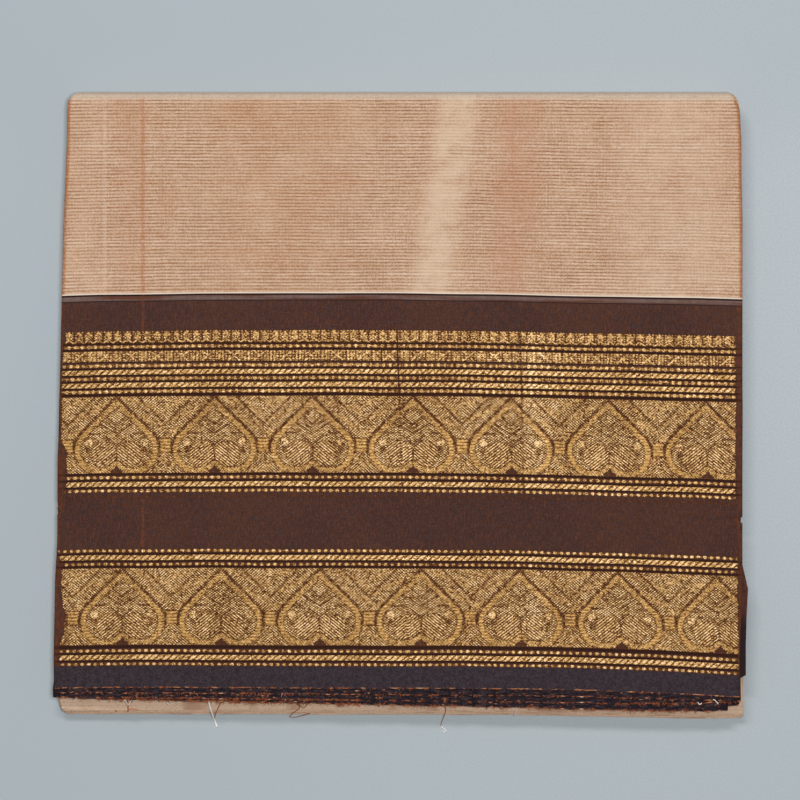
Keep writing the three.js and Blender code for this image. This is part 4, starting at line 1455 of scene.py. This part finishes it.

# Single threads that hang out of the selvedges: white, rust and brown, over the lower
# plies' folds and on to what the saree lies on. Each is a list of given places.
LOOSE_THREADS = [
    {"tint": 1.0, "radius": 0.42,
     "places": [(-95.3, -146.6, 14.2), (-94.8, -149.5, 12.6), (-93.8, -153.3, 9.2),
                (-92.8, -157.6, 2.2), (-92.0, -159.6, 0.6), (-91.4, -161.9, 0.4)]},
    {"tint": 0.48, "radius": 0.22,
     "places": [(-88.0, -147.0, 13.8), (-89.4, -150.0, 12.0), (-91.4, -154.2, 8.6), (-92.4, -157.4, 2.2)]},
    {"tint": 0.50, "radius": 0.26,
     "places": [(-135.8, -147.0, 14.0), (-135.4, -150.2, 12.2), (-135.6, -153.8, 8.8)]},
    {"tint": 0.50, "radius": 0.17,
     "places": [(-135.6, -152.6, 10.4), (-133.4, -152.2, 10.2), (-130.2, -152.9, 9.4)]},
    {"tint": 0.92, "radius": 0.18,
     "places": [(-137.6, -146.8, 14.4), (-136.2, -148.6, 13.4), (-135.6, -150.2, 12.3)]},
    {"tint": 0.92, "radius": 0.18,
     "places": [(-133.4, -146.8, 14.4), (-134.4, -148.8, 13.4), (-135.5, -150.2, 12.3)]},
    {"tint": 0.94, "radius": 0.18,
     "places": [(-115.4, -147.2, 14.0), (-113.8, -148.6, 13.2), (-114.8, -149.8, 12.2),
                (-115.8, -149.0, 12.4)]},
    {"tint": 0.40, "radius": 0.18,
     "places": [(-51.2, -148.8, 12.8), (-49.4, -151.4, 11.2), (-52.4, -154.2, 8.4), (-54.6, -156.6, 2.6),
                (-51.4, -156.9, 1.4), (-47.6, -155.7, 4.4), (-44.2, -154.6, 7.6)]},
    {"tint": 0.36, "radius": 0.18,
     "places": [(-50.4, -149.0, 12.8), (-47.6, -151.6, 11.0), (-45.2, -149.4, 12.4)]},
    {"tint": 0.93, "radius": 0.20,
     "places": [(-13.8, -147.9, 13.4), (-12.6, -149.2, 12.8), (-11.2, -149.4, 12.6), (-10.0, -148.2, 13.2)]},
    {"tint": 0.34, "radius": 0.18,
     "places": [(23.4, -150.0, 12.0), (23.8, -153.4, 9.4), (22.8, -157.0, 2.0), (21.8, -159.6, 0.5),
                (21.4, -161.6, 0.4)]},
    {"tint": 0.88, "radius": 0.22,
     "places": [(21.4, -161.4, 0.5), (22.6, -162.4, 0.5), (23.9, -163.4, 0.6), (23.2, -164.6, 0.5),
                (22.4, -163.8, 0.9)]},
    {"tint": 0.94, "radius": 0.20,
     "places": [(59.4, -152.0, 11.6), (58.8, -154.0, 9.0), (58.4, -156.4, 3.4)]},
    {"tint": 0.96, "radius": 0.20,
     "places": [(150.0, -148.6, 16.5), (150.9, -149.6, 16.3), (151.9, -148.9, 16.5)]},
    {"tint": 0.96, "radius": 0.20,
     "places": [(157.6, -147.0, 17.0), (158.6, -147.6, 17.0), (159.5, -148.6, 16.4), (160.2, -149.4, 16.2)]},
    {"tint": 0.55, "radius": 0.24,
     "places": [(-141.8, -152.6, 10.6), (-141.2, -153.2, 10.2), (-141.7, -153.7, 9.8)]},
]


def smooth_line(places, parts=6):
    """A smooth line through some places."""
    places = np.array(places, dtype=float)
    padded = np.vstack([2 * places[0] - places[1], places, 2 * places[-1] - places[-2]])
    line = []
    for a, b, c, d in zip(padded, padded[1:], padded[2:], padded[3:]):
        for part in range(parts):
            t = part / parts
            second = 2 * a - 5 * b + 4 * c - d
            third = 3 * b - 3 * c + d - a
            line.append(0.5 * (2 * b + (c - a) * t + second * t ** 2 + third * t ** 3))
    line.append(places[-1])
    return line


loose = Strands()
for row in LOOSE_THREADS:
    loose.add(smooth_line(row["places"]), row["radius"], row["tint"], sides=6)
loose_threads = loose.piece("loose_threads", thread_material)
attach(loose_threads, "root")

# The floor is a plain pale sheet with a fine grain. It is painted a little darker to the left, to the front
# and at the back: painted shade of the light that falls unevenly on it.
FLOOR = 3000 * MM
FLOOR_BELOW = 0.05 * MM
floor_corners = [(x * FLOOR, y * FLOOR, 0) for x, y in ((-1, -1), (1, -1), (1, 1), (-1, 1))]
floor_mesh = bpy.data.meshes.new("floor")
floor_mesh.from_pydata(floor_corners, [], [(0, 1, 2, 3)])
floor = put_in_place("floor", floor_mesh)
floor.location.z = -FLOOR_BELOW
material, tree, shader = new_material("floor", roughness=0.9, sheen=0.0, specular=0.1)
x, y = in_the_scene(tree)[:2]
colour = blend(x.fade(-230.0, 160.0), dye(173, 182, 187), dye(186, 194, 199))
colour = blend(y.fade(60.0, -220.0) * 0.5, colour, dye(172, 181, 184))
colour = blend(y.fade(110.0, 180.0) * 0.45, colour, dye(168, 177, 182))
fine_grain = noise(x, y, 0.9, 0.9, detail=1, seed=95.0)
colour = blend(fine_grain.fade(0.3, 0.7) * 0.5, colour, dye(168, 178, 182))
tree.links.new(colour.socket, shader.inputs["Base Color"])
floor_mesh.materials.append(material)

# A broad window behind the saree throws its shadow forwards, and a softbox hangs overhead.
# Both face the middle of the floor, and a faint even light fills the room.
LIGHTS = [
    {"name": "window", "at": (-0.46, 1.38, 2.3), "size": (1.0, 0.35), "power": 27.0},
    {"name": "softbox", "at": (0.17, 0.05, 2.6), "size": (0.4, 0.4), "power": 37.5},
]
for row in LIGHTS:
    lamp = bpy.data.lights.new(row["name"], "AREA")
    lamp.energy = row["power"]
    lamp.shape = "RECTANGLE"
    lamp.size, lamp.size_y = row["size"]
    light = bpy.data.objects.new(row["name"], lamp)
    light.location = row["at"]
    x, y, z = row["at"]
    light.rotation_euler = (-math.atan2(y, math.hypot(x, z)), math.atan2(x, z), 0.0)
    bpy.context.scene.collection.objects.link(light)
world = bpy.data.worlds.new("studio")
world.use_nodes = True
room = world.node_tree.nodes["Background"]
room.inputs["Color"].default_value = (0.96, 0.98, 1.0, 1.0)
room.inputs["Strength"].default_value = 0.17
bpy.context.scene.world = world
bpy.context.scene.view_settings.view_transform = "Standard"
